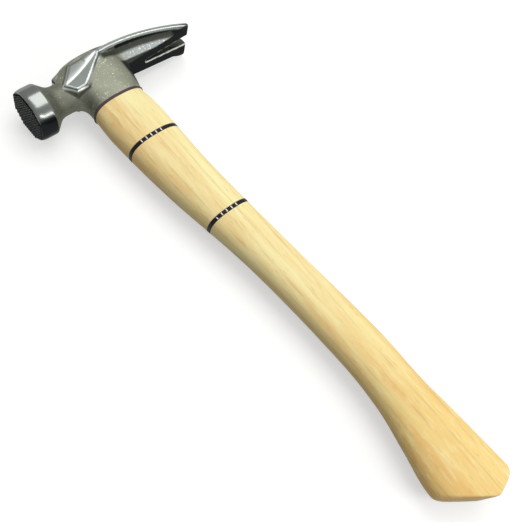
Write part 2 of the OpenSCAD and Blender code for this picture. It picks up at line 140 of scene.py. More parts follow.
def add_node(tree: Tree, kind: str, inputs: dict | None = None, **settings: object) -> Node:
    """Adds a node with its settings, socket values and links.

    Args:
        tree: Node tree that takes the node.
        kind: Blender's type name of the node.
        inputs: Input name or place, with a value or an output socket to link.
        settings: Properties of the node itself.

    Returns:
        The new node.
    """
    node = tree.nodes.new(kind)
    for name, value in settings.items():
        setattr(node, name, value)
    feed(tree, node, inputs or {})
    return node


def to_frame(points: Array) -> Array:
    """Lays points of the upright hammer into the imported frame.

    Args:
        points: Places in millimetres, with x to the claw and z up the handle.

    Returns:
        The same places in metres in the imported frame.
    """
    x, y, z = np.moveaxis(np.asarray(points, float), -1, 0)
    return np.stack([z, -x, -y], axis=-1) * MM + np.array(ORIGIN)


def find_origin(collar_drop: float, claw_reach: float) -> Vector:
    """Point where the handle's axis crosses the head's axis.

    Args:
        collar_drop: Depth of the collar's rim below the head's axis.
        claw_reach: Distance of the claw's tip from the handle's axis.

    Returns:
        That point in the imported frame.
    """
    low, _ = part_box("head")
    handle_low, handle_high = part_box("handle")
    middle = (handle_low.z + handle_high.z) / 2
    return Vector((low.x + collar_drop * MM, low.y + claw_reach * MM, middle))


COLLAR_DROP = 24.6
CLAW_REACH = 79.6
ORIGIN = find_origin(COLLAR_DROP, CLAW_REACH)


def make_piece(name: str, points: Array, faces: Sequence, material: Material) -> Piece:
    """Makes a smooth mesh piece from points of the upright hammer.

    Args:
        name: Name of the piece.
        points: Its points in millimetres.
        faces: Its faces as lists of point numbers.
        material: Finish of the whole piece.

    Returns:
        The new object, at the origin with its place in its mesh.
    """
    mesh = bpy.data.meshes.new(name)
    mesh.from_pydata(to_frame(points), [], [list(map(int, f)) for f in faces])
    mesh.shade_smooth()
    mesh.materials.append(material)
    return link_piece(name, mesh)


def link_piece(name: str, mesh: Mesh) -> Piece:
    """Puts a finished mesh into the scene as a piece that rides on the hammer's body.

    Args:
        name: Name of the piece.
        mesh: Its mesh, with its place in it.

    Returns:
        The new object.
    """
    piece = bpy.data.objects.new(name, mesh)
    bpy.context.scene.collection.objects.link(piece)
    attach(piece, BODY)
    LOG.info("%s: %d faces", name, len(mesh.polygons))
    return piece


def mark_points(piece: Piece, name: str, values: Array) -> None:
    """Stores one value for each point of a piece, for its finish to read."""
    layer = piece.data.attributes.new(name, "FLOAT", "POINT")
    layer.data.foreach_set("value", values.astype(np.float32))


def stand_for(node: str, slot: Slot) -> None:
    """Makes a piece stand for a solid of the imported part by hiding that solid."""
    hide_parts(node)


def evaluate(name: str, tree: Tree, sizes: dict[str, float],
             seed: Mesh | None = None) -> Mesh:
    """Runs a geometry tree and keeps its result as a plain mesh.

    Args:
        name: Name of the mesh.
        tree: Geometry tree with named inputs.
        sizes: Values of those inputs.
        seed: Mesh that the tree starts from, if it needs one.

    Returns:
        The mesh that the tree makes.
    """
    carrier = bpy.data.objects.new(name + "_carrier", seed or bpy.data.meshes.new(name + "_seed"))
    bpy.context.scene.collection.objects.link(carrier)
    modifier = carrier.modifiers.new("nodes", "NODES")
    modifier.node_group = tree
    for item in tree.interface.items_tree:
        if item.in_out == "INPUT" and item.name in sizes:
            modifier[item.identifier] = sizes[item.name]
    graph = bpy.context.evaluated_depsgraph_get()
    mesh = bpy.data.meshes.new_from_object(carrier.evaluated_get(graph))
    mesh.name = name
    bpy.data.objects.remove(carrier)
    return mesh


def start_tree(name: str, sizes: Sequence[str]) -> tuple[Tree, Node]:
    """Starts a geometry tree with one geometry input and named size inputs.

    Args:
        name: Name of the tree.
        sizes: Names of its number inputs.

    Returns:
        The tree and its input node.
    """
    tree = bpy.data.node_groups.new(name, "GeometryNodeTree")
    tree.interface.new_socket("Geometry", in_out="INPUT", socket_type="NodeSocketGeometry")
    tree.interface.new_socket("Geometry", in_out="OUTPUT", socket_type="NodeSocketGeometry")
    for size in sizes:
        tree.interface.new_socket(size, in_out="INPUT", socket_type="NodeSocketFloat")
    return tree, add_node(tree, "NodeGroupInput")


def end_tree(tree: Tree, geometry: Socket, material: Material) -> None:
    """Ends a geometry tree with real faces that carry a material.

    Args:
        tree: Geometry tree to end.
        geometry: Output with the finished geometry.
        material: Finish of its faces.
    """
    real = add_node(tree, "GeometryNodeRealizeInstances", {"Geometry": geometry})
    dressed = add_node(tree, "GeometryNodeSetMaterial", {"Geometry": real.outputs[0],
                                                         "Material": material})
    add_node(tree, "NodeGroupOutput", {0: dressed.outputs[0]})


def soft_max(a: Array, b: Array, radius: float) -> Array:
    """Larger of two distance fields, with the edge between them rounded.

    Args:
        a: First field.
        b: Second field.
        radius: Width over which the edge is rounded, in millimetres.

    Returns:
        Field of the shape that both hold.
    """
    near = np.maximum(radius - np.abs(a - b), 0.0) / radius
    return np.maximum(a, b) + near * near * radius / 4


def soft_min(a: Array, b: Array, radius: float) -> Array:
    """Smaller of two distance fields, with a fillet of a width in the corner between them."""
    return -soft_max(-a, -b, radius)


def line(u: Array, v: Array, start: Profile, end: Profile) -> Array:
    """Distance from a straight line in a plane.

    Args:
        u: First coordinate of the points.
        v: Second coordinate of the points.
        start: A point on the line.
        end: A later point on the line.

    Returns:
        Distance, positive to the left of the way from start to end.
    """
    du, dv = end[0] - start[0], end[1] - start[1]
    return ((v - start[1]) * du - (u - start[0]) * dv) / math.hypot(du, dv)


def fade(value: Array, start: float, end: float) -> Array:
    """Smooth step from 0 at start to 1 at end, which may lie on either side of it."""
    share = np.clip((value - start) / (end - start), 0.0, 1.0)
    return share * share * (3 - 2 * share)


def unit_oval(points: int, power: float) -> Array:
    """Points round an oval of an exponent, with half axes of 1.

    Args:
        points: Number of points.
        power: Exponent of the oval.

    Returns:
        Two coordinates for each point.
    """
    turn = np.linspace(0, 2 * math.pi, points, endpoint=False)
    way = np.stack([np.cos(turn), np.sin(turn)], axis=1)
    return np.sign(way) * np.abs(way) ** (2 / power)


def oval_field(x: Array, y: Array, half_l: Array, half_w: Array, power: float) -> Array:
    """Distance from an upright oval, measured along the way from its middle.

    Args:
        x: Distance from the oval's middle, lengthwise.
        y: Distance from the oval's middle, across.
        half_l: Half of the oval's length.
        half_w: Half of the oval's width.
        power: Exponent of the oval.

    Returns:
        Distance, negative inside.
    """
    reach = (np.abs(x / half_l) ** power + np.abs(y / half_w) ** power) ** (1 / power)
    return (reach - 1) * np.hypot(x, y) / np.maximum(reach, 1e-6)


def gradient(shape: Callable[[Array], Array], points: Array, step: float = 0.04) -> tuple[Array, Array]:
    """Slope and bend of a distance field at some points.

    Args:
        shape: The field.
        points: Places in millimetres.
        step: Distance between the samples.

    Returns:
        The field's gradient and its Laplacian.
    """
    slopes = np.zeros_like(points)
    bend = -6 * shape(points)
    for axis in range(3):
        shift = np.zeros(3)
        shift[axis] = step
        ahead, behind = shape(points + shift), shape(points - shift)
        slopes[:, axis] = (ahead - behind) / (2 * step)
        bend += ahead + behind
    return slopes, bend / step**2


def skin(shape: Callable[[Array], Array], low: Sequence[float], high: Sequence[float],
         step: float, passes: int = 3, least_slope: float = 0.1) -> tuple[Array, Array]:
    """Covers the zero surface of a distance field with quads.

    One point is set in each cell of a grid that the surface crosses, then drawn onto it.

    Args:
        shape: The field, negative inside.
        low: Lowest corner of the space to search.
        high: Highest corner of that space.
        step: Size of a grid cell.
        passes: How often the points are drawn onto the surface.
        least_slope: Smallest squared slope of the field that is divided by.

    Returns:
        Points and quads that face outwards.
    """
    axes = [np.arange(a - 2 * step, b + 2 * step, step) for a, b in zip(low, high)]
    values = shape(np.stack(np.meshgrid(*axes, indexing="ij"), axis=-1))
    inside = values < 0
    cells = tuple(n - 1 for n in values.shape)
    hits = np.zeros(cells)
    place = np.zeros((*cells, 3))
    for axis, offset in itertools.product(range(3), itertools.product((0, 1), repeat=2)):
        start = np.insert(offset, axis, 0)
        first = tuple(slice(s, s + n) for s, n in zip(start, cells))
        start_next = start + np.eye(3, dtype=int)[axis]
        second = tuple(slice(s, s + n) for s, n in zip(start_next, cells))
        crossed = inside[first] != inside[second]
        hits += crossed
        place += crossed[..., None] * start
        fall = np.where(crossed, values[first] - values[second], 1.0)
        place[..., axis] += np.where(crossed, values[first] / fall, 0.0)
    active = hits > 0
    number = np.cumsum(active.ravel()).reshape(cells) - 1
    points = np.argwhere(active) + place[active] / hits[active][:, None]
    points = points * step + np.array([a[0] for a in axes])
    quads = []
    for axis in range(3):
        across = [np.eye(3, dtype=int)[(axis + k) % 3] for k in (1, 2)]
        lower = tuple(slice(0, -1) if k == axis else slice(1, -1) for k in range(3))
        upper = tuple(slice(1, None) if k == axis else slice(1, -1) for k in range(3))
        at = np.argwhere(inside[lower] != inside[upper]) + across[0] + across[1]
        rising = inside[tuple(at.T)]
        shifts = (0 * across[0], across[0], across[0] + across[1], across[1])
        ring = np.stack([number[tuple((at - s).T)] for s in shifts], axis=1)
        quads.append(np.where(rising[:, None], ring, ring[:, ::-1]))
    for _ in range(passes):
        slopes, _ = gradient(shape, points)
        steepness = np.maximum((slopes**2).sum(1), least_slope)
        points -= np.clip(shape(points) / steepness, -step, step)[:, None] * slopes
    return points, np.concatenate(quads)


@dataclass(frozen=True)
class Span:
    """Stretch of a pattern's values, and the shares that its two ends are mapped to."""

    start: float = 0.0
    end: float = 1.0
    low: float = 0.0
    high: float = 1.0

    def inputs(self, value: Socket) -> dict:
        """Inputs of a Map Range node that maps a value over this stretch."""
        return {"Value": value, "From Min": self.start, "From Max": self.end,
                "To Min": self.low, "To Max": self.high}


def lay_colours(tree: Tree, base: str, layers: Sequence[tuple[Socket, str]]) -> Socket:
    """Lays colours over one another.

    Args:
        tree: Node tree of the material.
        base: Colour of the lowest layer.
        layers: Share of each later layer, with its colour.

    Returns:
        Output with the mixed colour.
    """
    under = linear(base)
    for share, colour in layers:
        inputs = {0: share, MixSocket.FIRST.value: under, MixSocket.SECOND.value: linear(colour)}
        mixed = add_node(tree, "ShaderNodeMix", inputs, data_type="RGBA")
        under = mixed.outputs[MixSocket.RESULT.value]
    return under


@dataclass(frozen=True)
class Finish:
    """A surface finish, made into a Blender material the first time it is asked for."""

    name: str = "finish"

    def material(self) -> Material:
        """The finish as a material.

        Returns:
            The material, which all pieces of this finish share.
        """
        found = bpy.data.materials.get(self.name)
        if found:
            return found
        made = bpy.data.materials.new(self.name)
        made.use_nodes = True
        tree = made.node_tree
        tree.nodes.clear()
        shader = add_node(tree, "ShaderNodeBsdfPrincipled")
        add_node(tree, "ShaderNodeOutputMaterial", {"Surface": shader.outputs[0]})
        self.wire(tree, shader)
        return made

    def wire(self, tree: Tree, shader: Node) -> None:
        """Adds the nodes that give the finish its colour, gloss and grain.

        Args:
            tree: Node tree of the material.
            shader: Its surface shader.
        """
        raise NotImplementedError


@dataclass(frozen=True)
class ForgedSteel(Finish):
    """Forged tool steel, shot-blasted, with ground cheeks and bell and very dark painted shade below.

    Blasting gives a matt grey-green skin with bright flecks that paint glints, and a paler silver
    tone with more flecks that paints the lit sides of the claw's rib. Grinding gives a dark mirror
    with bright edges, partly rubbed and partly painted highlight, and the painted shade is very dark.
    """

    name: str = "forged_tool_steel"
    blasted: str = "#a9ab99"
    blasted_dark: str = "#8c8e7f"
    # Bright flecks that paint glints on the blasted skin.
    fleck: str = "#eceee0"
    # Paler tone that paints the lit sides of the claw's rib.
    silver: str = "#a2a8a8"
    ground: str = "#8a8d89"
    satin: str = "#7f8581"
    rim_tint: str = "#d0d2d0"
    # Very dark tone of painted shade and painted dark reflections under and inside the head.
    scale: str = "#202324"
    # Pale tone of bright edges and of painted highlights.
    rubbed_and_lit: str = "#dfe4de"
    fleck_size: float = 1.3
    fleck_span: Span = Span(0.6, 0.72, high=0.8)
    fleck_shift: Profile = (-0.02, 0.07)
    patch_size: float = 9.0
    pit_size: float = 0.8
    pit_depth: float = 0.25
    pit_strength: Span = Span(low=0.7, high=0.03)
    roughness: Span = Span(low=0.6, high=0.2)
    satin_gloss: float = 0.6

    def wire(self, tree: Tree, shader: Node) -> None:
        """Mixes blasted and ground steel, painted shade, painted glints and painted highlights by the
        head's zones.

        Args:
            tree: Node tree of the material.
            shader: Its surface shader.
        """
        coords = add_node(tree, "ShaderNodeTexCoord").outputs["Object"]
        ground, satin, black, sparkle, edge = (
            add_node(tree, "ShaderNodeAttribute", attribute_name=zone.value).outputs["Fac"]
            for zone in Zone)
        noises = ((self.patch_size, 2.0), (self.pit_size, 3.0), (self.fleck_size, 2.0))
        patches, pits, flecks = (
            add_node(tree, "ShaderNodeTexNoise",
                     {"Vector": coords, "Scale": per_mm(size), "Detail": detail}).outputs[0]
            for size, detail in noises)
        shift, gain = self.fleck_shift
        lift = add_node(tree, "ShaderNodeMath", {0: sparkle, 1: gain, 2: shift}, operation="MULTIPLY_ADD")
        lifted = add_node(tree, "ShaderNodeMath", {0: flecks, 1: lift.outputs[0]}, operation="ADD")
        bright = add_node(tree, "ShaderNodeMapRange", self.fleck_span.inputs(lifted.outputs[0]))
        colour = lay_colours(tree, self.blasted_dark, (
            (patches, self.blasted), (sparkle, self.silver), (bright.outputs[0], self.fleck),
            (ground, self.ground), (satin, self.satin), (black, self.scale), (edge, self.rubbed_and_lit)))
        smooth = add_node(tree, "ShaderNodeMath", {0: satin, 1: self.satin_gloss, 2: ground},
                          operation="MULTIPLY_ADD").outputs[0]
        matt = add_node(tree, "ShaderNodeMapRange", self.roughness.inputs(smooth))
        grain = add_node(tree, "ShaderNodeMapRange", self.pit_strength.inputs(smooth))
        bump = add_node(tree, "ShaderNodeBump", {"Height": pits, "Strength": grain.outputs[0],
                                                 "Distance": self.pit_depth * MM})
        feed(tree, shader, {"Base Color": colour, "Metallic": 1.0, "Roughness": matt.outputs[0],
                            "Specular Tint": linear(self.rim_tint), "Normal": bump.outputs[0]})


@dataclass(frozen=True)
class PlainMetal(Finish):
    """Small steel or nickel fittings: an even metal with a fine, slightly blotchy grain."""

    name: str = "mild_steel"
    colour: str = "#8d8f8e"
    dull: str = "#5c5e5d"
    roughness: float = 0.4
    gloss_range: float = 0.12
    grain_size: float = 1.5
    grain_depth: float = 0.1
    grain_strength: float = 0.3

    def wire(self, tree: Tree, shader: Node) -> None:
        """Lets the colour and gloss vary with a fine grain.

        Args:
            tree: Node tree of the material.
            shader: Its surface shader.
        """
        coords = add_node(tree, "ShaderNodeTexCoord").outputs["Object"]
        grain = add_node(tree, "ShaderNodeTexNoise", {
            "Vector": coords, "Scale": per_mm(self.grain_size), "Detail": 4.0}).outputs[0]
        spread = Span(low=self.roughness + self.gloss_range, high=self.roughness - self.gloss_range)
        gloss = add_node(tree, "ShaderNodeMapRange", spread.inputs(grain))
        bump = add_node(tree, "ShaderNodeBump", {"Height": grain, "Strength": self.grain_strength,
                                                 "Distance": self.grain_depth * MM})
        feed(tree, shader, {"Base Color": lay_colours(tree, self.dull, [(grain, self.colour)]),
                            "Metallic": 1.0, "Roughness": gloss.outputs[0], "Normal": bump.outputs[0]})


@dataclass(frozen=True)
class Hardwood(Finish):
    """Hickory under clear lacquer: pale sapwood with tan streaks, light flecks and dark pores.

    The growth rings run along the handle, so its sides show long broken lines. The wood turns
    golden towards the butt, its streaks turn more tan on the side of the face as painted shade where
    that side turns from the light, and its cut ends are darker. Spans of places and the pith are in
    metres, and lengths and widths of features in millimetres.
    """

    name: str = "lacquered_hickory"
    pale: str = "#f4e8ac"
    golden: str = "#ecce86"
    tan: str = "#e3b068"
    line_tone: str = "#b58a4c"
    fleck: str = "#f5e9b2"
    golden_span: Span = Span(-0.02, -0.14)
    # Painted shade: streaks lean tan towards the face's side, which turns from the light.
    face_side_shade: Span = Span(0.01, 0.026, high=0.16)
    streak_size: Profile = (90.0, 7.0)
    streak_span: Span = Span(0.38, 0.74, high=0.6)
    fleck_size: Profile = (13.0, 2.4)
    fleck_span: Span = Span(0.5, 0.72, high=0.45)
    ring_width: float = 5.5
    ring_bend: Profile = (150.0, 30.0)
    ring_wander: tuple[float, float, float] = (0.0, 0.03, 0.03)
    ring_stretch: tuple[float, float, float] = (0.05, 1.0, 1.0)
    ring_span: Span = Span(0.82, 1.0)
    break_size: Profile = (30.0, 2.5)
    break_span: Span = Span(0.42, 0.66, high=0.32)
    pore_size: Profile = (9.0, 0.9)
    pore_span: Span = Span(0.66, 0.74, high=0.35)
    pore_depth: float = 0.1
    pore_strength: float = 0.1
    pith: tuple[float, float, float] = (0.0, -0.08, 0.025)
    end_span: Span = Span(high=0.62)
    lacquer: float = 0.15
    roughness: float = 0.5

    def stretched(self, tree: Tree, coords: Socket, size: Profile, detail: float) -> Socket:
        """Noise drawn out along the handle.

        Args:
            tree: Node tree of the material.
            coords: Places on the handle.
            size: Length and width of the noise's features, in millimetres.
            detail: Detail of the noise.

        Returns:
            Output with the noise's value.
        """
        scale = (per_mm(size[0]), per_mm(size[1]), per_mm(size[1]))
        along = add_node(tree, "ShaderNodeMapping", {"Vector": coords, "Scale": scale})
        return add_node(tree, "ShaderNodeTexNoise", {
            "Vector": along.outputs[0], "Scale": 1.0, "Detail": detail}).outputs[0]

    def rings(self, tree: Tree, coords: Socket) -> Socket:
        """Growth rings round the tree's pith, which wander along the handle.

        Args:
            tree: Node tree of the material.
            coords: Places on the handle.

        Returns:
            Output with the rings' value.
        """
        bends = self.stretched(tree, coords, self.ring_bend, 1.0)
        from_pith = add_node(tree, "ShaderNodeMapping", {
            "Vector": coords, "Location": self.pith, "Scale": self.ring_stretch})
        wander = add_node(tree, "ShaderNodeVectorMath", {0: bends, 1: self.ring_wander},
                          operation="MULTIPLY")
        bent = add_node(tree, "ShaderNodeVectorMath", {0: from_pith.outputs[0], 1: wander.outputs[0]},
                        operation="ADD")
        # A Wave texture's rings repeat every 2 pi / 20 of its own unit.
        scale = per_mm(self.ring_width) * math.pi / 10
        wave = add_node(tree, "ShaderNodeTexWave", {"Vector": bent.outputs[0], "Scale": scale},
                        wave_type="RINGS", rings_direction="X", wave_profile="SIN")
        return wave.outputs["Fac"]

    def wire(self, tree: Tree, shader: Node) -> None:
        """Lays streaks, flecks, broken growth lines and pores along the handle.

        Args:
            tree: Node tree of the material.
            shader: Its surface shader.
        """
        coords = add_node(tree, "ShaderNodeTexCoord").outputs["Object"]
        place = add_node(tree, "ShaderNodeSeparateXYZ", {0: coords}).outputs
        inner = add_node(tree, "ShaderNodeMapRange", self.face_side_shade.inputs(place["Y"]))
        streaks = self.stretched(tree, coords, self.streak_size, 3.0)
        leant = add_node(tree, "ShaderNodeMath", {0: streaks, 1: inner.outputs[0]}, operation="ADD")
        pores = self.stretched(tree, coords, self.pore_size, 1.0)
        ends = add_node(tree, "ShaderNodeAttribute", attribute_name=END_GRAIN)
        patterns = (
            (self.golden_span, place["X"]),
            (self.streak_span, leant.outputs[0]),
            (self.fleck_span, self.stretched(tree, coords, self.fleck_size, 2.0)),
            (self.ring_span, self.rings(tree, coords)),
            (self.break_span, self.stretched(tree, coords, self.break_size, 2.0)),
            (self.pore_span, pores),
            (self.end_span, ends.outputs["Fac"]),
        )
        aged, streaked, flecked, thin, broken, spots, soaked = (
            add_node(tree, "ShaderNodeMapRange", span.inputs(value)).outputs[0] for span, value in patterns)
        lines = add_node(tree, "ShaderNodeMath", {0: thin, 1: broken}, operation="MULTIPLY")
        marks = add_node(tree, "ShaderNodeMath", {0: lines.outputs[0], 1: spots}, operation="MAXIMUM")
        colour = lay_colours(tree, self.pale, (
            (aged, self.golden), (streaked, self.tan), (flecked, self.fleck),
            (marks.outputs[0], self.line_tone), (soaked, self.line_tone)))
        bump = add_node(tree, "ShaderNodeBump", {"Height": pores, "Strength": self.pore_strength,
                                                 "Distance": self.pore_depth * MM})
        feed(tree, shader, {"Base Color": colour, "Roughness": self.roughness,
                            "Specular IOR Level": self.lacquer, "Normal": bump.outputs[0]})


@dataclass(frozen=True)
class Coating(Finish):
    """Printed ink or sealant: an even, half-matt colour that is paler where the coat is thin."""

    name: str = "black_ink"
    colour: str = "#100e12"
    thin: str = "#1e1b21"
    roughness: float = 0.5
    shine: float = 0.2
    blotch_size: float = 2.5
    blotch_depth: float = 0.05
    blotch_strength: float = 0.2

    def wire(self, tree: Tree, shader: Node) -> None:
        """Varies the tone where the coat is thin.

        Args:
            tree: Node tree of the material.
            shader: Its surface shader.
        """
        coords = add_node(tree, "ShaderNodeTexCoord").outputs["Object"]
        blotch = add_node(tree, "ShaderNodeTexNoise", {
            "Vector": coords, "Scale": per_mm(self.blotch_size), "Detail": 3.0}).outputs[0]
        bump = add_node(tree, "ShaderNodeBump", {"Height": blotch, "Strength": self.blotch_strength,
                                                 "Distance": self.blotch_depth * MM})
        feed(tree, shader, {"Base Color": lay_colours(tree, self.colour, [(blotch, self.thin)]),
                            "Roughness": self.roughness, "Specular IOR Level": self.shine,
                            "Normal": bump.outputs[0]})


@dataclass(frozen=True)
class HeadRounds:
    """Widths over which the head's edges and inner corners are rounded, in millimetres."""

    face: float = 0.3
    bevel: float = 0.5
    rim: float = 0.8
    cone: float = 0.7
    neck_end: float = 10.0
    collar_top: float = 2.0
    collar_rim: float = 0.5
    crown_ramp: float = 1.0
    crown_tail: float = 4.0
    crown_side: float = 1.2
    crown_nose: float = 0.8
    crown_flare: float = 2.0
    crown_rear: float = 3.0
    crown_front: float = 0.3
    shield_ridge: float = 0.5
    shield_wall: float = 0.5
    shield_border: float = 0.4
    plate: float = 0.4
    chamfer: float = 0.35
    rib: float = 3.5
    claw_under: float = 1.0
    claw_tip: float = 1.0
    claw_corner: float = 0.8
    neck_join: float = 2.5
    collar_join: float = 9.0
    crown_join: float = 2.5
    claw_join: float = 2.0
    shield_join: float = 0.8
    cut: float = 0.4
    fine_cut: float = 0.3


@dataclass
class ForgedHead:
    """Head of the hammer: bell, neck, crown, cheeks, collar and rip claw in one forging.

    Lengths are in millimetres. Most pairs are points of a profile, a half gives an oval's half
    length and half width, and a span gives two places along the head.
    """

    face_reach: float = 58.1
    tooth: float = 0.8
    bell_r: float = 18.79
    bell_rear: float = -45.0
    bevel: tuple[Profile, Profile] = ((-58.1, 17.1), (-57.1, 18.1))
    rim_end: Profile = (-54.8, 18.8)
    cone_end: Profile = (-38.0, 12.5)
    neck_r: float = 11.5
    neck_rear_r: float = 11.2
    neck_span: Profile = (-36.0, -20.3)
    neck_end: float = -4.0
    collar_half: Profile = (20.3, 13.4)
    collar_sunk: float = 2.0
    boss_gain: Profile = (2.2, 0.8)
    boss_h: float = 1.0
    crown_h: float = 18.6
    crown_foot: float = 4.0
    crown_land: float = 10.0
    crown_shoulder: Profile = (12.6, 15.6)
    crown_side: Profile = (14.8, 10.0)
    crown_lean: float = 0.25
    crown_nose: Profile = (-28.0, 15.6)
    crown_nose_w: float = 4.0
    crown_ramp: Profile = (-12.0, 10.0)
    crown_widest: Profile = (4.0, 4.4)
    crown_rear: float = 18.5
    crown_tail: Profile = (40.5, 15.0)
    shield_top: Profile = (-15.4, 13.4)
    shield_point: Profile = (-28.4, 0.2)
    shield_low: Profile = (-21.9, -7.8)
    shield_heel: Profile = (-13.6, -7.8)
    shield_tail: Profile = (8.25, 8.6)
    shield_half: float = 13.1
    shield_foot: float = 5.0
    shield_leans: Profile = (0.06, 0.1)
    shield_wall: Profile = (0.2, 1.02)
    shield_border: float = 1.5
    ridge_sag: float = 2.0
    claw_half: float = 16.5
    claw_axis: Profile = (16.5, -128.0)
    claw_r: float = 142.0
    claw_crown: float = 3.6
    claw_edge: float = 4.6
    claw_chamfer: float = 1.3
    claw_corner: float = 1.2
    claw_start: float = -4.0
    claw_under: tuple[Profile, Profile] = ((0.0, -4.4), (79.6, -3.0))
    claw_free: float = 8.0
    claw_far: float = 8.0
    rib_foot: Profile = (7.0, 14.0)
    rib_top: Profile = (12.5, 14.0)
    rib_h: float = 18.0
    rib_over: float = 1.2
    rib_span: Profile = (18.5, 80.6)
    slot_from: float = 30.0
    slot_root: Profile = (42.0, 1.5)
    slot_mouth: Profile = (80.6, 4.8)
    slot_bevel: float = 0.55
    eye_half: Profile = (15.5, 9.5)
    oval_power: float = 2.5
    groove_r: float = 2.4
    groove_h: float = 19.8
    notch_l: float = 5.0
    notch_half: float = 4.8
    notch_floor: float = 10.2
    magnet_r: float = 2.05
    magnet_h: float = 12.8
    magnet_l: float = 5.05
    magnet_front: float = 1.0
    cell: float = 0.62
    normal_step: float = 0.3
    rounds: HeadRounds = HeadRounds()
    finish: Finish = field(default_factory=ForgedSteel)

    def bell(self, x: Array, r: Array) -> Array:
        """Field of the turned bell with its bevelled rim and the cone behind it.

        Args:
            x: Places along the head.
            r: Distances from the head's axis.

        Returns:
            Distance, negative inside.
        """
        rounds = self.rounds
        body = soft_max(r - self.bell_r, -self.face_reach + self.tooth - x, rounds.face)
        body = soft_max(body, line(x, r, *self.bevel), rounds.bevel)
        body = soft_max(body, line(x, r, self.bevel[1], self.rim_end), rounds.rim)
        return soft_max(body, line(x, r, (self.bell_rear, self.bell_r), self.cone_end), rounds.cone)

    def neck(self, x: Array, r: Array) -> Array:
        """Field of the neck, which narrows towards the collar."""
        girth = np.interp(x, self.neck_span, (self.neck_r, self.neck_rear_r))
        return np.maximum(soft_max(r - girth, x - self.neck_end, self.rounds.neck_end), self.bell_rear - x)

    def collar(self, x: Array, side: Array, z: Array) -> Array:
        """Field of the oval boss round the eye, down to the collar's rim.

        Args:
            x: Places along the head.
            side: Distances from the middle plane.
            z: Places up the head.

        Returns:
            Distance, negative inside.
        """
        swell = 1 - ((z - self.boss_h) / (COLLAR_DROP + self.boss_h)) ** 2
        half_l = self.collar_half[0] + self.boss_gain[0] * swell
        half_w = self.collar_half[1] + self.boss_gain[1] * swell
        body = oval_field(x - self.boss_gain[0] * swell, side, half_l, half_w, self.oval_power)
        body = soft_max(body, z - self.crown_h + self.collar_sunk, self.rounds.collar_top)
        return soft_max(body, -COLLAR_DROP - z, self.rounds.collar_rim)

    def crown(self, x: Array, side: Array, z: Array) -> Array:
        """Field of the crown: a flat land, leaning sides, a ramp to the nose and a tail.

        Args:
            x: Places along the head.
            side: Distances from the middle plane.
            z: Places up the head.

        Returns:
            Distance, negative inside.
        """
        rounds = self.rounds
        widest, side_h = self.crown_side
        nose = (self.crown_nose[0], self.crown_nose_w)
        front, rear = ((place, widest) for place in self.crown_widest)
        cuts = (
            (line(x, z, self.crown_nose, (self.crown_ramp[0], self.crown_h)), rounds.crown_ramp),
            (line(x, z, (self.crown_rear, self.crown_h), self.crown_tail), rounds.crown_tail),
            (line(side, z, (self.crown_land, self.crown_h), self.crown_shoulder), rounds.crown_side),
            (line(side, z, self.crown_shoulder, self.crown_side), rounds.crown_side),
            (line(x, side, nose, self.crown_ramp), rounds.crown_nose),
            (line(x, side, self.crown_ramp, front), rounds.crown_flare),
            (line(x, side, rear, (self.crown_rear, self.crown_land)), rounds.crown_rear),
            (self.crown_nose[0] - x, rounds.crown_front),
        )
        body = z - self.crown_h
        for cut, rounding in cuts:
            body = soft_max(body, cut, rounding)
        tuck = side - widest + self.crown_lean * (side_h - z)
        return np.maximum.reduce([body, tuck, self.crown_foot - z])

    def above_ridge(self, x: Array, z: Array) -> Array:
        """Height above the ridge of a cheek shield, which sags between its ends.

        Args:
            x: Places along the head.
            z: Places up the head.

        Returns:
            Height in millimetres, negative below the ridge.
        """
        start, low = self.shield_point
        share = np.clip((x - start) / (self.shield_tail[0] - start), 0, 1)
        return z - low - (self.shield_top[1] - low) * share + 4 * self.ridge_sag * share * (1 - share)

    def shield_face(self, x: Array, z: Array) -> tuple[Array, Array]:
        """Where the polished cheek shields lie.

        Args:
            x: Places along the head.
            z: Places up the head.

        Returns:
            Distance of the shield's face from the middle plane, and that of its ridge.
        """
        span = (self.shield_point[0], self.shield_tail[0])
        ridge = np.interp(x, span, (self.shield_half, self.claw_half))
        above = self.above_ridge(x, z)
        lower, upper = self.shield_leans
        return ridge - soft_max(-above * lower, above * upper, self.rounds.shield_ridge), ridge

    def shield_outline(self, x: Array, z: Array) -> Array:
        """Field of a shield's outline, seen from the side.

        Args:
            x: Places along the head.
            z: Places up the head.

        Returns:
            Distance, negative inside.
        """
        corners = (self.shield_tail, self.shield_heel, self.shield_low, self.shield_point,
                   self.shield_top, (self.shield_tail[0], self.shield_top[1]))
        return np.maximum.reduce([line(x, z, a, b) for a, b in zip(corners, corners[1:])])

    def shield(self, x: Array, side: Array, z: Array) -> Array:
        """Field of a raised cheek shield with its bevelled border and leaning walls.

        Args:
            x: Places along the head.
            side: Distances from the middle plane.
            z: Places up the head.

        Returns:
            Distance, negative inside.
        """
        face, _ = self.shield_face(x, z)
        height = side - face
        outline = self.shield_outline(x, z)
        lean, slant = self.shield_wall
        wall = (outline + lean * height) / slant
        border = (outline + height + self.shield_border) / math.sqrt(2)
        body = soft_max(soft_max(height, wall, self.rounds.shield_wall), border, self.rounds.shield_border)
        return np.maximum.reduce([body, x - self.shield_tail[0], self.shield_foot - side])

    def plate_sides(self, x: Array, side: Array, z: Array) -> tuple[Array, Array, Array]:
        """Distances from the top, the underside and the edge of the claw's curved plate.

        Args:
            x: Places along the head.
            side: Distances from the middle plane.
            z: Places up the head.

        Returns:
            Three distances, each negative inside.
        """
        spoke = np.hypot(x - self.claw_axis[0], z - self.claw_axis[1])
        face, ridge = self.shield_face(x, z)
        free = fade(x, self.shield_tail[0], self.shield_tail[0] + self.claw_free)
        edge = side - face - (ridge - face) * free
        return spoke - self.claw_r, self.claw_r - self.claw_edge - spoke, edge

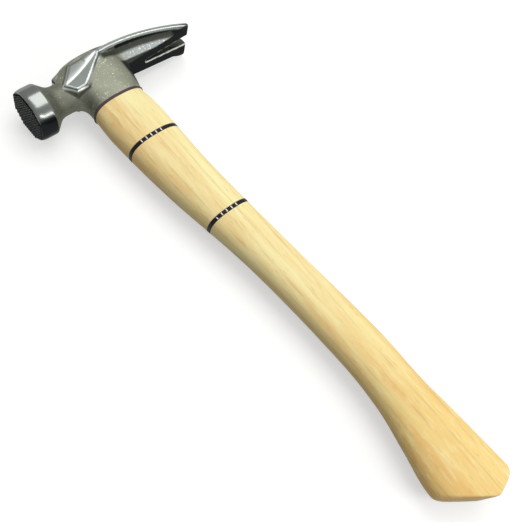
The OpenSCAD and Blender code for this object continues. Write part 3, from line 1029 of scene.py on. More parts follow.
    def claw(self, x: Array, side: Array, z: Array) -> Array:
        """Field of the claw: a curved plate over a rib, cut flat below.

        Args:
            x: Places along the head.
            side: Distances from the middle plane.
            z: Places up the head.

        Returns:
            Distance, negative inside.
        """
        rounds = self.rounds
        top, under, edge = self.plate_sides(x, side, z)
        rise = self.claw_crown * np.clip(1 - (side / (self.claw_half - self.claw_chamfer)) ** 2, 0, 1)
        plate = soft_max(np.maximum(top - rise, edge), under, rounds.plate)
        for face in (top, under):
            plate = soft_max(plate, (face + edge + self.claw_chamfer) / math.sqrt(2), rounds.chamfer)
        foot = np.interp(x, self.rib_span, self.rib_foot)
        head = np.interp(x, self.rib_span, self.rib_top)
        lean = np.clip((z - self.claw_under[0][1]) / self.rib_h, 0, self.rib_over)
        rib = np.maximum(side - foot - (head - foot) * lean, top + self.claw_edge / 2)
        body = soft_min(plate, rib, rounds.rib)
        body = soft_max(body, -line(x, z, *self.claw_under), rounds.claw_under)
        body = soft_max(body, np.maximum(x - CLAW_REACH, -self.claw_far), rounds.claw_tip)
        corner = ((CLAW_REACH - self.claw_corner, self.claw_half),
                  (CLAW_REACH, self.claw_half - self.claw_corner))
        body = soft_max(body, line(x, side, *corner), rounds.claw_corner)
        return np.maximum(body, self.claw_start - x)

    def nail_slot(self, x: Array, side: Array) -> Array:
        """Field of the tapering nail slot with its round root.

        Args:
            x: Places along the head.
            side: Distances from the middle plane.

        Returns:
            Distance, negative in the slot.
        """
        straight = line(x, side, self.slot_root, self.slot_mouth)
        round_root = np.hypot(x - self.slot_root[0], side) - self.slot_root[1]
        return np.where(x > self.slot_root[0], straight, round_root)

    def slot_edge(self, x: Array, side: Array, z: Array) -> Array:
        """Field of the small bevel where the slot meets the claw's underside."""
        below = line(x, z, *self.claw_under)
        return self.slot_bevel - self.nail_slot(x, side) - below

    def shape(self, points: Array) -> Array:
        """Distance field of the whole head.

        Args:
            points: Places in millimetres, with the three coordinates on the last axis.

        Returns:
            Distance from the head's surface, negative inside.
        """
        x, y, z = np.moveaxis(points, -1, 0)
        side = np.abs(y)
        r = np.hypot(y, z)
        rounds = self.rounds
        body = soft_min(self.bell(x, r), self.neck(x, r), rounds.neck_join)
        body = soft_min(body, self.collar(x, side, z), rounds.collar_join)
        body = soft_min(body, self.crown(x, side, z), rounds.crown_join)
        body = soft_min(body, self.claw(x, side, z), rounds.claw_join)
        body = soft_min(body, self.shield(x, side, z), rounds.shield_join)
        on_claw = x > self.slot_from
        slot = np.where(on_claw, self.nail_slot(x, side), FAR)
        edge = np.where(on_claw, self.slot_edge(x, side, z) / math.sqrt(2), -FAR)
        eye = oval_field(x, side, *self.eye_half, self.oval_power)
        groove = np.maximum(np.hypot(y, z - self.groove_h) - self.groove_r, x - self.cone_end[0])
        nose = self.crown_nose[0]
        notch = np.maximum.reduce([x - nose, nose - self.notch_l - x, side - self.notch_half,
                                   self.notch_floor - z])
        cuts = ((-slot, rounds.cut), (edge, rounds.fine_cut), (-eye, rounds.cut),
                (-groove, rounds.cut), (-notch, rounds.fine_cut))
        for cut, rounding in cuts:
            body = soft_max(body, cut, rounding)
        pocket = np.hypot(y, z - self.magnet_h) - self.magnet_r
        pocket = np.maximum.reduce([pocket, nose - self.magnet_front - x, x - nose - self.magnet_l])
        return np.maximum(body, -pocket)

    def build(self) -> Piece:
        """Skins the field, marks its zones and dresses it in steel.

        Returns:
            The head as a piece that stands for its solid.
        """
        low = (-self.face_reach, -self.bell_r, -COLLAR_DROP)
        high = (CLAW_REACH, self.bell_r, self.bell_r)
        points, quads = skin(self.shape, low, high, self.cell)
        slopes, bend = gradient(self.shape, points, self.normal_step)
        normals = slopes / np.linalg.norm(slopes, axis=1)[:, None]
        piece = make_piece("forged_head", points, quads, self.finish.material())
        for zone, share in HeadZones(self, points, normals, bend).shares().items():
            mark_points(piece, zone.value, share)
        laid = to_frame(normals) - np.array(ORIGIN)
        piece.data.normals_split_custom_set_from_vertices((laid / MM).tolist())
        stand_for("head", Slot.STEEL)
        return piece


def overlap(*terms: tuple[Array, Profile]) -> Array:
    """Share where all terms hold, each a value with where its own share starts and is full."""
    return math.prod(fade(value, *span) for value, span in terms)


@dataclass
class HeadZones:
    """Where grinding, painted shade, painted glints and bright edges with painted highlights lie on the
    head's skin.

    A span gives the values at which a share starts and is full, in millimetres from the line
    or plane that it is named for, or as parts of a unit normal for a lean. A tone is the full
    share of a zone.
    """

    head: ForgedHead
    points: Array
    normals: Array
    bend: Array

    # Ground bell, satin shields and satin edge of the claw's plate.
    bell_rear: Profile = (0.2, -0.6)
    shield_depth: Profile = (-2.0, -1.2)
    shield_rim: Profile = (0.6, -0.1)
    plate_depth: Profile = (-0.5, 0.1)
    plate_side: Profile = (-1.0, 1.5)
    plate_start: Profile = (4.0, 9.0)

    # Painted shade and painted dark reflections: face, underside, slot, hollow, tip, notch, bell's foot,
    # neck and shades.
    face_lean: Profile = (-0.8, -0.95)
    face_depth: Profile = (3.0, 1.5)
    under_lean: Profile = (-0.7, -0.9)
    under_start: Profile = (19.0, 22.0)
    foot_line: tuple[Profile, Profile] = ((20.0, 56.0), (0.2, -3.6))
    foot_depth: Profile = (0.0, -1.0)
    foot_start: Profile = (18.0, 21.0)
    foot_tone: float = 0.9
    slot_wall: Profile = (0.8, 0.4)
    slot_start: Profile = (38.0, 41.0)
    slot_tone: float = 0.8
    hollow_top: Profile = (-0.2, 0.5)
    hollow_end: Profile = (5.4, 3.2)
    hollow_start: Profile = (7.0, 10.0)
    hollow_side: Profile = (0.0, 3.0)
    hollow_tone: float = 0.85
    tip_start: Profile = (58.0, 67.0)
    tip_depth: Profile = (-0.9, -1.8)
    tip_end: Profile = (68.0, 76.0)
    tip_tone: float = 0.85
    notch_floor: Profile = (-0.5, 0.0)
    notch_side: Profile = (1.0, 0.0)
    notch_front: Profile = (-1.0, 0.0)
    notch_rear: Profile = (0.8, 0.2)
    bell_foot: Profile = (-12.5, -16.0)
    neck_front: tuple[Profile, Profile] = ((-24.0, -30.0), (10.0, 7.0))
    neck_foot: tuple[Profile, Profile] = ((-12.0, -17.0), (-3.0, -9.0))
    neck_tone: float = 0.4
    shade_rise: Profile = (0.3, 0.8)
    shade_fall: Profile = (3.6, 1.8)
    shade_place: tuple[Profile, Profile] = ((-9.0, -13.0), (-0.5, -3.0))
    shade_tone: float = 0.8
    plate_tone: float = 0.3
    facet_start: Profile = (-0.3, -1.5)
    facet_tone: float = 0.42
    rim_rise: Profile = (0.0, 0.4)
    rim_fall: Profile = (1.8, 0.9)
    rim_height: Profile = (1.0, 3.0)
    rim_start: Profile = (-13.0, -15.0)
    rim_tone: float = 0.6

    # Paler silver tone and more bright flecks on the sides of the claw's rib, painting its lit side and
    # glints.
    rib_side: Profile = (5.0, 7.0)
    rib_lean: Profile = (0.6, 0.8)
    rib_start: Profile = (22.0, 27.0)
    rib_depth: Profile = (0.0, 2.0)

    # Bright edges, partly rubbed and partly painted highlight, and painted highlights on bevelled edges,
    # the shields' ridges and their upper facet.
    edge_bend: Profile = (0.8, 2.5)
    edge_girth: Profile = (3.0, 9.0)
    edge_least: float = 0.3
    edge_tone: float = 0.7
    gleam_tones: Profile = (0.13, 0.25)
    gleam_height: Profile = (6.0, 0.0)
    gleam_start: Profile = (0.2, 0.8)
    plate_bevel: Profile = (0.45, 0.15)
    border_bevel: Profile = (0.55, 0.25)
    border_end: Profile = (8.0, 6.0)
    border_height: Profile = (2.5, 0.5)
    ridge_width: Profile = (1.3, 0.5)
    ridge_inset: Profile = (-0.5, -1.5)
    ridge_depth: Profile = (-0.6, -0.3)
    bevel_width: Profile = (0.3, 0.1)
    bevel_start: Profile = (36.0, 38.0)
    bevel_side: Profile = (8.0, 7.0)
    bevel_tone: float = 0.85

    def __post_init__(self) -> None:
        """Works out the points' distances from the head's main lines."""
        head = self.head
        self.x, y, self.z = self.points.T
        self.side = np.abs(y)
        self.girth = np.hypot(y, self.z)
        self.over = self.side - head.shield_face(self.x, self.z)[0]
        self.outline = head.shield_outline(self.x, self.z)
        self.above = head.above_ridge(self.x, self.z)
        self.top, self.under, self.edge = head.plate_sides(self.x, self.side, self.z)
        self.on_bell = overlap((self.x - head.bell_rear, self.bell_rear))
        self.on_shield = overlap((self.over, self.shield_depth), (self.outline, self.shield_rim))
        self.on_plate = overlap((self.top + head.claw_edge, self.plate_depth), (self.x, self.plate_start),
                                (self.side - head.rib_top[0], self.plate_side))
        self.on_face = overlap((self.normals[:, 0], self.face_lean),
                               (self.x + head.face_reach, self.face_depth))

    def shares(self) -> dict[Zone, Array]:
        """Shares of every zone at the head's points.

        Returns:
            One array for each zone, with a value from 0 to 1 for each point.
        """
        satin = np.maximum(self.on_shield, self.on_plate)
        black = np.maximum.reduce([*self.claw_painted_shade(), *self.front_painted_shade(), *self.shield_shades()])
        rib_glint = overlap((self.side, self.rib_side), (np.abs(self.normals[:, 1]), self.rib_lean),
                       (self.x, self.rib_start), (self.under, self.rib_depth))
        return {Zone.GROUND: self.on_bell, Zone.SATIN: satin, Zone.BLACK: black,
                Zone.SPARKLE: rib_glint * (1 - black), Zone.EDGE: self.rubs_and_highlights(satin)}

    def claw_painted_shade(self) -> list[Array]:
        """Shares of painted shade and painted dark reflection under the claw, in its slot and hollow and at
        its tip.

        Returns:
            One array for each zone, with a value from 0 to 1 for each point.
        """
        head, x = self.head, self.x
        flat = overlap((self.normals[:, 2], self.under_lean), (x, self.under_start))
        foot = overlap((self.z - np.interp(x, *self.foot_line), self.foot_depth), (x, self.foot_start))
        slot = overlap((np.abs(head.nail_slot(x, self.side)), self.slot_wall), (x, self.slot_start))
        hollow = overlap((self.under, self.hollow_top), (self.under, self.hollow_end),
                         (x, self.hollow_start), (self.side - head.rib_foot[0], self.hollow_side))
        tip = overlap((self.under, self.hollow_top), (x, self.tip_start))
        tip_edge = overlap((self.top, self.tip_depth), (x, self.tip_end))
        return [flat, self.foot_tone * foot, self.slot_tone * slot, self.hollow_tone * hollow, tip,
                self.tip_tone * tip_edge]

    def front_painted_shade(self) -> list[Array]:
        """Shares of painted shade and painted dark reflection on the face, in the nail notch and under the
        bell and neck.

        Returns:
            One array for each zone, with a value from 0 to 1 for each point.
        """
        head, x, z = self.head, self.x, self.z
        nose = head.crown_nose[0]
        notch = overlap((z - head.notch_floor, self.notch_floor),
                        (self.side - head.notch_half, self.notch_side),
                        (x - nose + head.notch_l, self.notch_front), (x - nose, self.notch_rear))
        bell_foot = self.on_bell * overlap((z, self.bell_foot))
        bare = self.neck_tone * (1 - self.on_bell) * (1 - self.on_shield)
        necks = [bare * overlap(*zip((x, z), spans)) for spans in (self.neck_front, self.neck_foot)]
        return [self.on_face, notch, bell_foot, *necks]

    def shield_shades(self) -> list[Array]:
        """Shares of dark tone beside and on the shields and along the plate's edge.

        Returns:
            One array for each zone, with a value from 0 to 1 for each point.
        """
        below = overlap((self.outline, self.shade_rise), (self.outline, self.shade_fall),
                        *zip((self.x, self.z), self.shade_place))
        facet = self.on_shield * overlap((self.above, self.facet_start))
        rim = overlap((self.outline, self.rim_rise), (self.outline, self.rim_fall),
                      (self.above, self.rim_height), (self.x, self.rim_start))
        return [self.shade_tone * below, self.plate_tone * self.on_plate, self.facet_tone * facet,
                self.rim_tone * rim]

    def rubs_and_highlights(self, satin: Array) -> Array:
        """Share of bright steel: edges partly rubbed and partly painted highlight, and painted highlights
        on bevelled edges and the shields' upper facets.

        Args:
            satin: Share of satin steel at each point.

        Returns:
            One value from 0 to 1 for each point.
        """
        edges = overlap((self.bend, self.edge_bend), (self.girth, self.edge_girth))
        edges *= np.maximum(satin, self.edge_least) * (1 - self.on_face) * (1 - self.on_bell)
        least, gain = self.gleam_tones
        gleam = least + gain * overlap((self.above, self.gleam_height))
        gleam *= self.on_shield * overlap((self.above, self.gleam_start))
        return np.maximum.reduce([self.edge_tone * edges, self.bevel_tone * self.bevel_highlights(), gleam])

    def bevel_highlights(self) -> Array:
        """Share of painted highlight on the bevelled edges of the claw, slot and shields and on the
        shields' ridges.

        Returns:
            One value from 0 to 1 for each point.
        """
        head = self.head
        chamfers = [np.maximum(np.abs(face + head.claw_chamfer), np.abs(self.edge))
                    for face in (self.top, self.under)]
        plate = overlap((np.minimum(*chamfers), self.plate_bevel), (self.x, self.plate_start))
        inner = np.maximum(np.abs(self.outline + head.shield_border), np.abs(self.over))
        outer = np.maximum(np.abs(self.outline), np.abs(self.over + head.shield_border))
        border = overlap((np.minimum(inner, outer), self.border_bevel), (self.x, self.border_end),
                         (self.above, self.border_height))
        ridge = overlap((np.abs(self.above), self.ridge_width), (self.outline, self.ridge_inset),
                        (self.over, self.ridge_depth))
        slot = overlap((np.abs(head.slot_edge(self.x, self.side, self.z)), self.bevel_width),
                       (self.x, self.bevel_start), (self.side, self.bevel_side))
        return np.maximum.reduce([plate, border, ridge, slot])


@dataclass
class MilledFace:
    """Waffle of small blunt pyramids milled into the striking face."""

    radius: float = 17.0
    pitch: float = 2.0
    tip: float = 0.6
    # Milled steel, made very dark as a painted dark reflection in the face: dark flanks with a soft sheen
    # along their edges.
    finish: Finish = field(default_factory=lambda: PlainMetal(
        name="black_milled_steel", colour="#222625", dull="#101313", roughness=0.38))

    def tree(self) -> Tree:
        """Geometry tree that sets a pyramid on each grid point within the face.

        Returns:
            The tree, with the sizes of the waffle as inputs.
        """
        tree, sizes = start_tree("milled_waffle", ("Radius", "Pitch", "Tip", "Height", "Reach"))
        out = sizes.outputs
        width = add_node(tree, "ShaderNodeMath", {0: out["Radius"], 1: 2.0}, operation="MULTIPLY")
        count = add_node(tree, "ShaderNodeMath", {0: width.outputs[0], 1: out["Pitch"]}, operation="DIVIDE")
        gaps = add_node(tree, "ShaderNodeMath", {0: count.outputs[0]}, operation="FLOOR").outputs[0]
        side = add_node(tree, "ShaderNodeMath", {0: gaps, 1: out["Pitch"]}, operation="MULTIPLY").outputs[0]
        rows = add_node(tree, "ShaderNodeMath", {0: gaps, 1: 1.0}, operation="ADD").outputs[0]
        grid = add_node(tree, "GeometryNodeMeshGrid", {
            "Size X": side, "Size Y": side, "Vertices X": rows, "Vertices Y": rows})
        place = add_node(tree, "GeometryNodeInputPosition")
        reach = add_node(tree, "ShaderNodeVectorMath", {0: place.outputs[0]}, operation="LENGTH")
        outside = add_node(tree, "FunctionNodeCompare", {0: reach.outputs["Value"], 1: out["Radius"]},
                           operation="GREATER_THAN")
        kept = add_node(tree, "GeometryNodeDeleteGeometry", {
            "Geometry": grid.outputs[0], "Selection": outside.outputs[0]})
        corner = add_node(tree, "ShaderNodeMath", {0: out["Pitch"], 1: math.sqrt(0.5)},
                          operation="MULTIPLY")
        tooth = add_node(tree, "GeometryNodeMeshCone", {
            "Vertices": 4, "Radius Top": out["Tip"], "Radius Bottom": corner.outputs[0],
            "Depth": out["Height"]})
        square = add_node(tree, "GeometryNodeTransform", {
            "Geometry": tooth.outputs[0], "Rotation": (0.0, 0.0, math.pi / 4)})
        teeth = add_node(tree, "GeometryNodeInstanceOnPoints", {
            "Points": kept.outputs[0], "Instance": square.outputs[0]})
        offset = add_node(tree, "ShaderNodeCombineXYZ", {"X": ORIGIN.x, "Y": out["Reach"], "Z": ORIGIN.z})
        placed = add_node(tree, "GeometryNodeTransform", {
            "Geometry": teeth.outputs[0], "Translation": offset.outputs[0],
            "Rotation": (-math.pi / 2, 0.0, 0.0)})
        end_tree(tree, placed.outputs[0], self.finish.material())
        return tree

    def build(self, head: ForgedHead) -> Piece:
        """Mills the waffle into the head's face.

        Args:
            head: Head whose face takes the waffle.

        Returns:
            The teeth as one piece.
        """
        sizes = {"Radius": self.radius * MM, "Pitch": self.pitch * MM, "Tip": self.tip * MM,
                 "Height": head.tooth * MM, "Reach": ORIGIN.y + (head.face_reach - head.tooth) * MM}
        piece = link_piece("milled_face_teeth", evaluate("milled_face_teeth", self.tree(), sizes))
        return piece


@dataclass(frozen=True)
class Station:
    """Section of the handle: depth below the head's axis, set-back, length along x and width."""

    depth: float
    set_back: float
    length: float
    width: float


@dataclass
class Handle:
    """Curved hickory handle with its tenon, waist, grip and cut butt."""

    stations: tuple[Station, ...] = (
        Station(25.5, 0.0, 40.4, 26.6),
        Station(46.0, 0.6, 42.6, 28.4),
        Station(101.0, 2.9, 37.8, 27.0),
        Station(178.0, 10.8, 31.4, 24.8),
        Station(265.0, 16.2, 32.8, 25.0),
        Station(302.0, 15.0, 34.8, 25.6),
        Station(330.4, 12.9, 42.8, 26.8),
        Station(355.9, 10.8, 50.0, 27.6),
        Station(385.9, 11.8, 51.2, 27.2),
    )
    tenon_half: Profile = (15.38, 9.38)
    tenon_top: float = 19.0
    tenon_bevel: float = 0.5
    tenon_lead: float = 3.0
    tenon_steps: int = 8
    oval_power: float = 2.5
    butt_point: Profile = (13.5, -384.9)
    front_slope: float = -0.78
    rear_slope: float = 0.1525
    butt_ridge: float = 2.0
    butt_lift: float = 0.5
    butt_rounds: tuple[float, float, float] = (1.5, 4.0, 5.0)
    butt_search: float = 12.0
    butt_passes: int = 12
    sharp_angle: float = 50.0
    ring_points: int = 120
    side_rings: int = 130
    round_rings: int = 9
    cap_rings: int = 14
    finish: Finish = field(default_factory=Hardwood)

    def section(self, depth: Array) -> tuple[Array, Array, Array]:
        """Set-back, half length and half width of the handle at a depth.

        Args:
            depth: Depths below the head's axis.

        Returns:
            Three arrays, on a smooth curve through the stations.
        """
        table = np.array([(s.depth, s.set_back, s.length / 2, s.width / 2) for s in self.stations])
        last = len(table) - 1
        after = np.minimum(np.arange(last + 1) + 1, last)
        before = np.maximum(np.arange(last + 1) - 1, 0)
        slopes = (table[after] - table[before]) / (table[after, :1] - table[before, :1])
        i = np.clip(np.searchsorted(table[:, 0], depth) - 1, 0, last - 1)
        gap = table[i + 1, 0] - table[i, 0]
        u = ((depth - table[i, 0]) / gap)[..., None]
        gap = gap[..., None]
        curve = (table[i] * (1 + 2 * u) * (1 - u) ** 2 + gap * slopes[i] * u * (1 - u) ** 2
                 + table[i + 1] * u * u * (3 - 2 * u) + gap * slopes[i + 1] * u * u * (u - 1))
        return curve[..., 1], curve[..., 2], curve[..., 3]

    def ring(self, depth: Array, inset: Array | float = 0.0) -> Array:
        """Points round the handle, each at its own depth.

        Args:
            depth: One depth for each point of the ring.
            inset: How far the ring lies inside the surface.

        Returns:
            Points in millimetres.
        """
        along, across = unit_oval(self.ring_points, self.oval_power).T
        set_back, half_l, half_w = self.section(depth)
        return np.stack([set_back + (half_l - inset) * along, (half_w - inset) * across, -depth], axis=-1)

    def butt_height(self, x: Array) -> Array:
        """Height of the butt's two cut facets, with a soft ridge between them."""
        run = x - self.butt_point[0]
        return self.butt_point[1] + soft_max(self.front_slope * run, self.rear_slope * run, self.butt_ridge)

    def butt_rings(self) -> list[Array]:
        """Rings that round the handle's side over into its cut end.

        Returns:
            Rings of points, from the side inwards.
        """
        turn = np.linspace(0, 2 * math.pi, self.ring_points, endpoint=False)
        across = np.cos(turn)
        plain, front, rear = self.butt_rounds
        rounding = (plain + (front - plain) * np.maximum(-across, 0) ** 2
                    + (rear - plain) * np.maximum(across, 0) ** 2)
        rings = []
        for step in range(self.round_rings + 1):
            angle = math.pi / 2 * step / self.round_rings
            inset = rounding * (1 - math.cos(angle))
            depth = np.full(self.ring_points, -self.butt_point[1] - self.butt_search)
            for _ in range(self.butt_passes):
                points = self.ring(depth, inset)
                depth = -self.butt_height(points[:, 0]) - rounding * (1 - math.sin(angle))
            rings.append(points)
        return rings

    def tenon_rings(self) -> list[Array]:
        """Rings of the tenon, from its bevelled top down to the shoulder.

        Returns:
            Rings of points, from the top down.
        """
        oval = unit_oval(self.ring_points, self.oval_power)
        half = np.array(self.tenon_half)
        top, shoulder = self.tenon_top, -self.stations[0].depth
        heights = [(top, self.tenon_bevel), (top - self.tenon_bevel, 0.0)]
        heights += [(h, 0.0) for h in np.linspace(top - self.tenon_lead, shoulder, self.tenon_steps)]
        return [np.column_stack([oval * (half - inset), np.full(self.ring_points, height)])
                for height, inset in heights]

    def build(self) -> Piece:
        """Lofts the handle and dresses it in hickory.

        The tenon ends a hair below the tops of its wedges, which show in it.

        Returns:
            The handle as a piece that stands for its solid.
        """
        tenon = self.tenon_rings()
        ends = self.butt_rings()
        start = self.stations[0].depth
        shares = np.linspace(0, 1, self.side_rings)
        sides = [self.ring(start + (-ends[0][:, 2] - start) * s) for s in shares[:-1]]
        middle = np.array([self.butt_point[0], 0.0])
        caps = []
        for share in np.linspace(1, 0, self.cap_rings, endpoint=False)[1:]:
            flat = middle + (ends[-1][:, :2] - middle) * share
            caps.append(np.column_stack([flat, self.butt_height(flat[:, 0])]))
        rings = tenon + sides + ends + caps
        poles = [[0.0, 0.0, self.tenon_top], [*middle, self.butt_point[1] + self.butt_lift]]
        points = np.concatenate([*rings, poles])
        faces = loft_faces(len(rings), self.ring_points)
        faces += fan_faces(self.ring_points, 0, len(points) - 2, True)
        faces += fan_faces(self.ring_points, (len(rings) - 1) * self.ring_points, len(points) - 1, False)
        piece = make_piece("hickory_handle", points, faces, self.finish.material())
        piece.data.set_sharp_from_angle(angle=math.radians(self.sharp_angle))
        cut = np.zeros(len(points))
        first_end = (len(tenon) + len(sides)) * self.ring_points
        turned = np.linspace(0, 1, len(ends)) ** 2
        cut[first_end : first_end + len(ends) * self.ring_points] = np.repeat(turned, self.ring_points)
        cut[first_end + len(ends) * self.ring_points :] = 1.0
        cut[: self.ring_points] = 1.0
        mark_points(piece, END_GRAIN, cut)
        stand_for("handle", Slot.HICKORY)
        return piece


def loft_faces(rings: int, points: int, closed: bool = False) -> list[list[int]]:
    """Quads between rings that run downwards, seen from outside.

    Args:
        rings: Number of rings.
        points: Number of points in each ring.
        closed: Whether the last ring also meets the first.

    Returns:
        Faces as lists of point numbers.
    """
    faces = []
    for j, i in itertools.product(range(rings if closed else rings - 1), range(points)):
        here, below, beside = j * points, (j + 1) % rings * points, (i + 1) % points
        faces.append([here + i, below + i, below + beside, here + beside])
    return faces


def fan_faces(points: int, first: int, middle: int, upwards: bool) -> list[list[int]]:
    """Triangles that close a ring over its middle point.

    Args:
        points: Number of points in the ring.
        first: Number of the ring's first point.
        middle: Number of the middle point.
        upwards: Whether the fan faces up the handle.

    Returns:
        Faces as lists of point numbers.
    """
    pairs = [(first + i, first + (i + 1) % points) for i in range(points)]
    return [[a, b, middle] if upwards else [b, a, middle] for a, b in pairs]


@dataclass
class InkBand:
    """Printed band round the handle, with a few pale ticks on the near side."""

    name: str
    node: str
    depth: float
    width: float = 3.0
    film: float = 0.1
    edge: float = 0.15
    edge_film: float = 0.02
    sunk: float = 0.05
    ticks: int = 5
    tick_pitch: float = 4.1
    tick_shift: float = -3.6
    tick_size: tuple[float, float, float] = (2.2, 0.8, 0.12)
    tick_line: int = 24
    finish: Finish = field(default_factory=Coating)
    # Pale ink: off-white ticks that stand out from the black band.
    tick_finish: Finish = field(default_factory=lambda: Coating(
        name="pale_ink", colour="#f2efe6", thin="#dcd6c6"))

    def build(self, handle: Handle) -> Piece:
        """Prints the band on the handle.

        Args:
            handle: Handle that carries the band.

        Returns:
            The band as a piece that stands for its solid.
        """
        half = self.width / 2
        land = half - self.edge
        profile = [(-half, -self.edge_film), (-land, -self.film), (land, -self.film),
                   (half, -self.edge_film), (land, self.sunk), (-land, self.sunk)]
        count = handle.ring_points
        rings = [handle.ring(np.full(count, self.depth + at), inset) for at, inset in profile]
        faces = loft_faces(len(rings), count, closed=True)
        piece = make_piece(self.name, np.concatenate(rings), faces, self.finish.material())
        stand_for(self.node, Slot.INK)
        return piece

    def tick_tree(self) -> Tree:
        """Geometry tree that sets ticks at even steps along a line, flat on the band.

        Returns:
            The tree, with the sizes of the ticks as inputs.
        """
        tree, sizes = start_tree(self.name + "_ticks", ("Count", "Width", "Length", "Film"))
        out = sizes.outputs
        path = add_node(tree, "GeometryNodeMeshToCurve", {"Mesh": out["Geometry"]})
        spaced = add_node(tree, "GeometryNodeResampleCurve", {
            "Curve": path.outputs[0], "Count": out["Count"]})
        tangent = add_node(tree, "GeometryNodeInputTangent")
        size = add_node(tree, "ShaderNodeCombineXYZ", {
            "X": out["Length"], "Y": out["Width"], "Z": out["Film"]})
        block = add_node(tree, "GeometryNodeMeshCube", {"Size": size.outputs[0]})
        turned = add_node(tree, "FunctionNodeAlignRotationToVector", {"Vector": tangent.outputs[0]},
                          axis="Y", pivot_axis="X")
        ticks = add_node(tree, "GeometryNodeInstanceOnPoints", {
            "Points": spaced.outputs[0], "Instance": block.outputs[0], "Rotation": turned.outputs[0]})
        end_tree(tree, ticks.outputs[0], self.tick_finish.material())
        return tree

    def add_ticks(self, handle: Handle) -> Piece:
        """Prints the pale ticks on the near side of the band.

        Args:
            handle: Handle that carries the band.

        Returns:
            The ticks as one piece.
        """
        ring = handle.ring(np.full(handle.ring_points, self.depth), -self.film)
        near = ring[ring[:, 1] < 0]
        near = near[np.argsort(near[:, 0])]
        reach = self.tick_pitch * (self.ticks - 1) / 2
        middle = handle.section(np.array([self.depth]))[0][0] + self.tick_shift
        across = np.linspace(middle - reach, middle + reach, self.tick_line)
        height = np.full(self.tick_line, -self.depth)
        path = np.column_stack([across, np.interp(across, near[:, 0], near[:, 1]), height])
        seed = bpy.data.meshes.new(self.name + "_line")
        seed.from_pydata(to_frame(path), [(i, i + 1) for i in range(len(path) - 1)], [])
        length, width, film = self.tick_size
        sizes = {"Count": float(self.ticks), "Width": width * MM, "Length": length * MM, "Film": film * MM}
        name = self.name + "_ticks"
        piece = link_piece(name, evaluate(name, self.tick_tree(), sizes, seed))
        return piece


@dataclass
class EyeBead:
    """Bead of dark sealant squeezed out between the collar and the wood."""

    radius: float = 1.2
    proud: float = 0.75
    points: int = 160
    sides: int = 12
    # Sealant: a dark plum-brown line, a little paler where it is thin.
    finish: Finish = field(default_factory=lambda: Coating(
        name="brown_sealant", colour="#382a2e", thin="#5d4d53"))

    def build(self, head: ForgedHead, handle: Handle) -> Piece:
        """Runs the bead round the collar's rim.

        Args:
            head: Head with the collar.
            handle: Handle whose shoulder the bead lies on.

        Returns:
            The bead as a piece that stands for its solid.
        """
        half = np.array(head.collar_half) + self.proud - self.radius
        oval = unit_oval(self.points, head.oval_power)
        height = -(COLLAR_DROP + handle.stations[0].depth) / 2
        path = np.column_stack([oval * half, np.full(self.points, height)])
        seed = bpy.data.meshes.new("eye_bead_line")
        seed.from_pydata(to_frame(path), [(i, (i + 1) % self.points) for i in range(self.points)], [])
        tree, sizes = start_tree("sealant_bead", ("Radius",))
        curve = add_node(tree, "GeometryNodeMeshToCurve", {"Mesh": sizes.outputs["Geometry"]})
        circle = add_node(tree, "GeometryNodeCurvePrimitiveCircle", {
            "Resolution": self.sides, "Radius": sizes.outputs["Radius"]})
        tube = add_node(tree, "GeometryNodeCurveToMesh", {
            "Curve": curve.outputs[0], "Profile Curve": circle.outputs[0]})
        smooth = add_node(tree, "GeometryNodeSetShadeSmooth", {"Geometry": tube.outputs[0]})
        end_tree(tree, smooth.outputs[0], self.finish.material())
        mesh = evaluate("sealant_bead", tree, {"Radius": self.radius * MM}, seed)
        piece = link_piece("sealant_bead", mesh)
        stand_for("eye_bead", Slot.SEALANT)
        return piece


@dataclass
class SmallFittings:
    """Wedges and magnet, whose solids already have their true shapes."""

    finishes: dict[str, Finish] = field(default_factory=lambda: {
        # Sawn beech: darker and browner than the handle, so that the wedge shows in the tenon.
        "wood_wedge": Hardwood(name="beech_wedge", pale="#c9a06a", tan="#a97b45", golden="#c9a06a",
                               line_tone="#5d3d1d"),
        # Plain stamped steel: a dull grey with a soft sheen.
        "steel_wedges": PlainMetal(name="stamped_steel", colour="#9a9c99", dull="#6a6c69", roughness=0.45),
        # Nickel plate: warmer and brighter than steel.
        "nail_magnet": PlainMetal(name="nickel_plate", colour="#b9b6ae", dull="#8f8d86", roughness=0.25),
    })

    def dress(self) -> None:
        """Gives each fitting its own finish."""
        for name, finish in self.finishes.items():
            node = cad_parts[name]
            node.data.materials.clear()
            node.data.materials.append(finish.material())
            LOG.info("%s: dressed", name)


@dataclass(frozen=True)
class Lamp:
    """Soft lamp that faces the hammer's head.

    It hangs at a distance from the head, in a direction from there. Its window has a length
    along the handle and a width, and a radiance where 1 is white. Lengths are in metres.
    """

    name: str
    towards: tuple[float, float, float]
    distance: float
    size: Profile
    radiance: float

    def hang(self) -> None:
        """Hangs the lamp."""
        data = bpy.data.lights.new(self.name, "AREA")
        data.shape = "RECTANGLE"
        data.size, data.size_y = self.size
        data.energy = self.radiance * math.pi * self.size[0] * self.size[1]
        lamp = bpy.data.objects.new(self.name, data)
        bpy.context.scene.collection.objects.link(lamp)
        way = Vector(self.towards).normalized()
        across = way.cross(Vector((1.0, 0.0, 0.0))).normalized()
        turn = Matrix((across.cross(way), across, way)).transposed().to_4x4()
        lamp.matrix_world = Matrix.Translation(ORIGIN + way * self.distance) @ turn


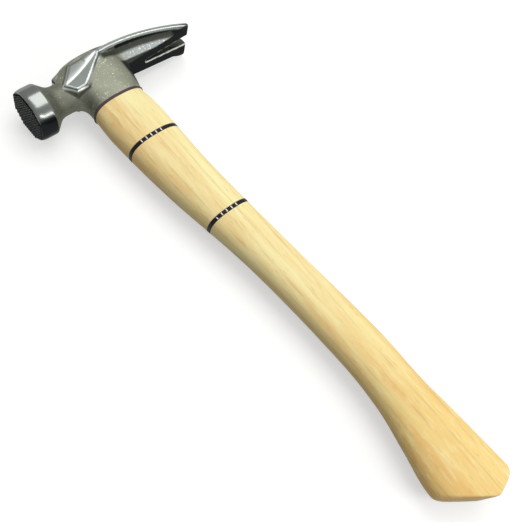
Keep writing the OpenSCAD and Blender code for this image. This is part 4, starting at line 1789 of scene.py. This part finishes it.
@dataclass
class Studio:
    """Pale floor, soft lamps and the photograph's camera."""

    camera_at: tuple[float, float, float] = (-192.0, -417.1, -269.9)
    camera_right: tuple[float, float, float] = (0.73613, -0.20031, -0.64653)
    camera_up: tuple[float, float, float] = (0.53491, -0.4131, 0.73703)
    focal_px: float = 700.0
    frame_px: float = 522.0
    sensor: float = 36.0
    floor_half: float = 4.0
    floor_seen: str = "#c9c9c7"
    floor_bounce: str = "#55534f"
    floor_glow: float = 0.48
    sky: Profile = (0.66, 0.46)
    sky_colour: str = "#ffffff"
    lamps: tuple[Lamp, ...] = (
        Lamp("key_softbox", (0.17, -0.28, 0.94), 0.95, (1.0, 0.6), 2.45),
        Lamp("side_strip", (-0.86, -0.28, 0.41), 0.9, (0.14, 0.8), 6.0),
    )

    def build(self) -> None:
        """Sets up the floor, the light and the camera."""
        self.add_floor()
        self.add_world()
        for lamp in self.lamps:
            lamp.hang()
        self.add_camera()
        bpy.context.scene.view_settings.view_transform = "Standard"

    def add_floor(self) -> None:
        """Lays the pale floor, which the camera and the steel see as white."""
        mesh = bpy.data.meshes.new("floor")
        half = self.floor_half
        corners = [(-half, -half, 0), (half, -half, 0), (half, half, 0), (-half, half, 0)]
        mesh.from_pydata(corners, [], [(0, 1, 2, 3)])
        floor = bpy.data.objects.new("floor", mesh)
        bpy.context.scene.collection.objects.link(floor)
        material = bpy.data.materials.new("pale_floor")
        material.use_nodes = True
        tree = material.node_tree
        tree.nodes.clear()
        path = add_node(tree, "ShaderNodeLightPath").outputs
        seen = path["Is Camera Ray"]
        for ray in ("Is Glossy Ray", "Is Transmission Ray"):
            seen = add_node(tree, "ShaderNodeMath", {0: seen, 1: path[ray]}, operation="MAXIMUM").outputs[0]
        tone = lay_colours(tree, self.floor_bounce, [(seen, self.floor_seen)])
        surface = add_node(tree, "ShaderNodeBsdfDiffuse", {"Color": tone})
        level = add_node(tree, "ShaderNodeMath", {0: seen, 1: self.floor_glow}, operation="MULTIPLY")
        glow = add_node(tree, "ShaderNodeEmission", {"Strength": level.outputs[0]})
        both = add_node(tree, "ShaderNodeAddShader", {0: surface.outputs[0], 1: glow.outputs[0]})
        add_node(tree, "ShaderNodeOutputMaterial", {"Surface": both.outputs[0]})
        mesh.materials.append(material)

    def add_world(self) -> None:
        """Gives a pale surround that is brighter on the claw's side than on the face's."""
        world = bpy.data.worlds.new("studio")
        world.use_nodes = True
        tree = world.node_tree
        tree.nodes.clear()
        coords = add_node(tree, "ShaderNodeTexCoord").outputs["Generated"]
        way = add_node(tree, "ShaderNodeSeparateXYZ", {0: coords}).outputs["Y"]
        level = add_node(tree, "ShaderNodeMapRange", Span(-1.0, 1.0, *self.sky).inputs(way))
        back = add_node(tree, "ShaderNodeBackground", {
            "Color": linear(self.sky_colour), "Strength": level.outputs[0]})
        add_node(tree, "ShaderNodeOutputWorld", {"Surface": back.outputs[0]})
        bpy.context.scene.world = world

    def add_camera(self) -> None:
        """Sets the camera where the photograph was taken from."""
        data = bpy.data.cameras.new("photo_camera")
        data.sensor_width = self.sensor
        data.lens = self.sensor * self.focal_px / self.frame_px
        data.clip_start = 0.01
        camera = bpy.data.objects.new("photo_camera", data)
        bpy.context.scene.collection.objects.link(camera)
        right, up = (Vector(to_frame(way) / MM - np.array(ORIGIN) / MM).normalized()
                     for way in (self.camera_right, self.camera_up))
        turn = Matrix((right, up, right.cross(up))).transposed().to_4x4()
        camera.matrix_world = Matrix.Translation(to_frame(self.camera_at)) @ turn
        bpy.context.scene.camera = camera


def main() -> None:
    """Builds and dresses every piece of the hammer, then the studio round it."""
    logging.basicConfig(level=logging.INFO, format="%(name)s %(message)s")
    head = ForgedHead()
    handle = Handle()
    head.build()
    MilledFace().build(head)
    handle.build()
    for band in (InkBand("upper_ink_band", "upper_band", depth=64.5),
                 InkBand("lower_ink_band", "lower_band", depth=139.0)):
        band.build(handle)
        band.add_ticks(handle)
    EyeBead().build(head, handle)
    SmallFittings().dress()
    Studio().build()


if __name__ == "__main__":
    main()
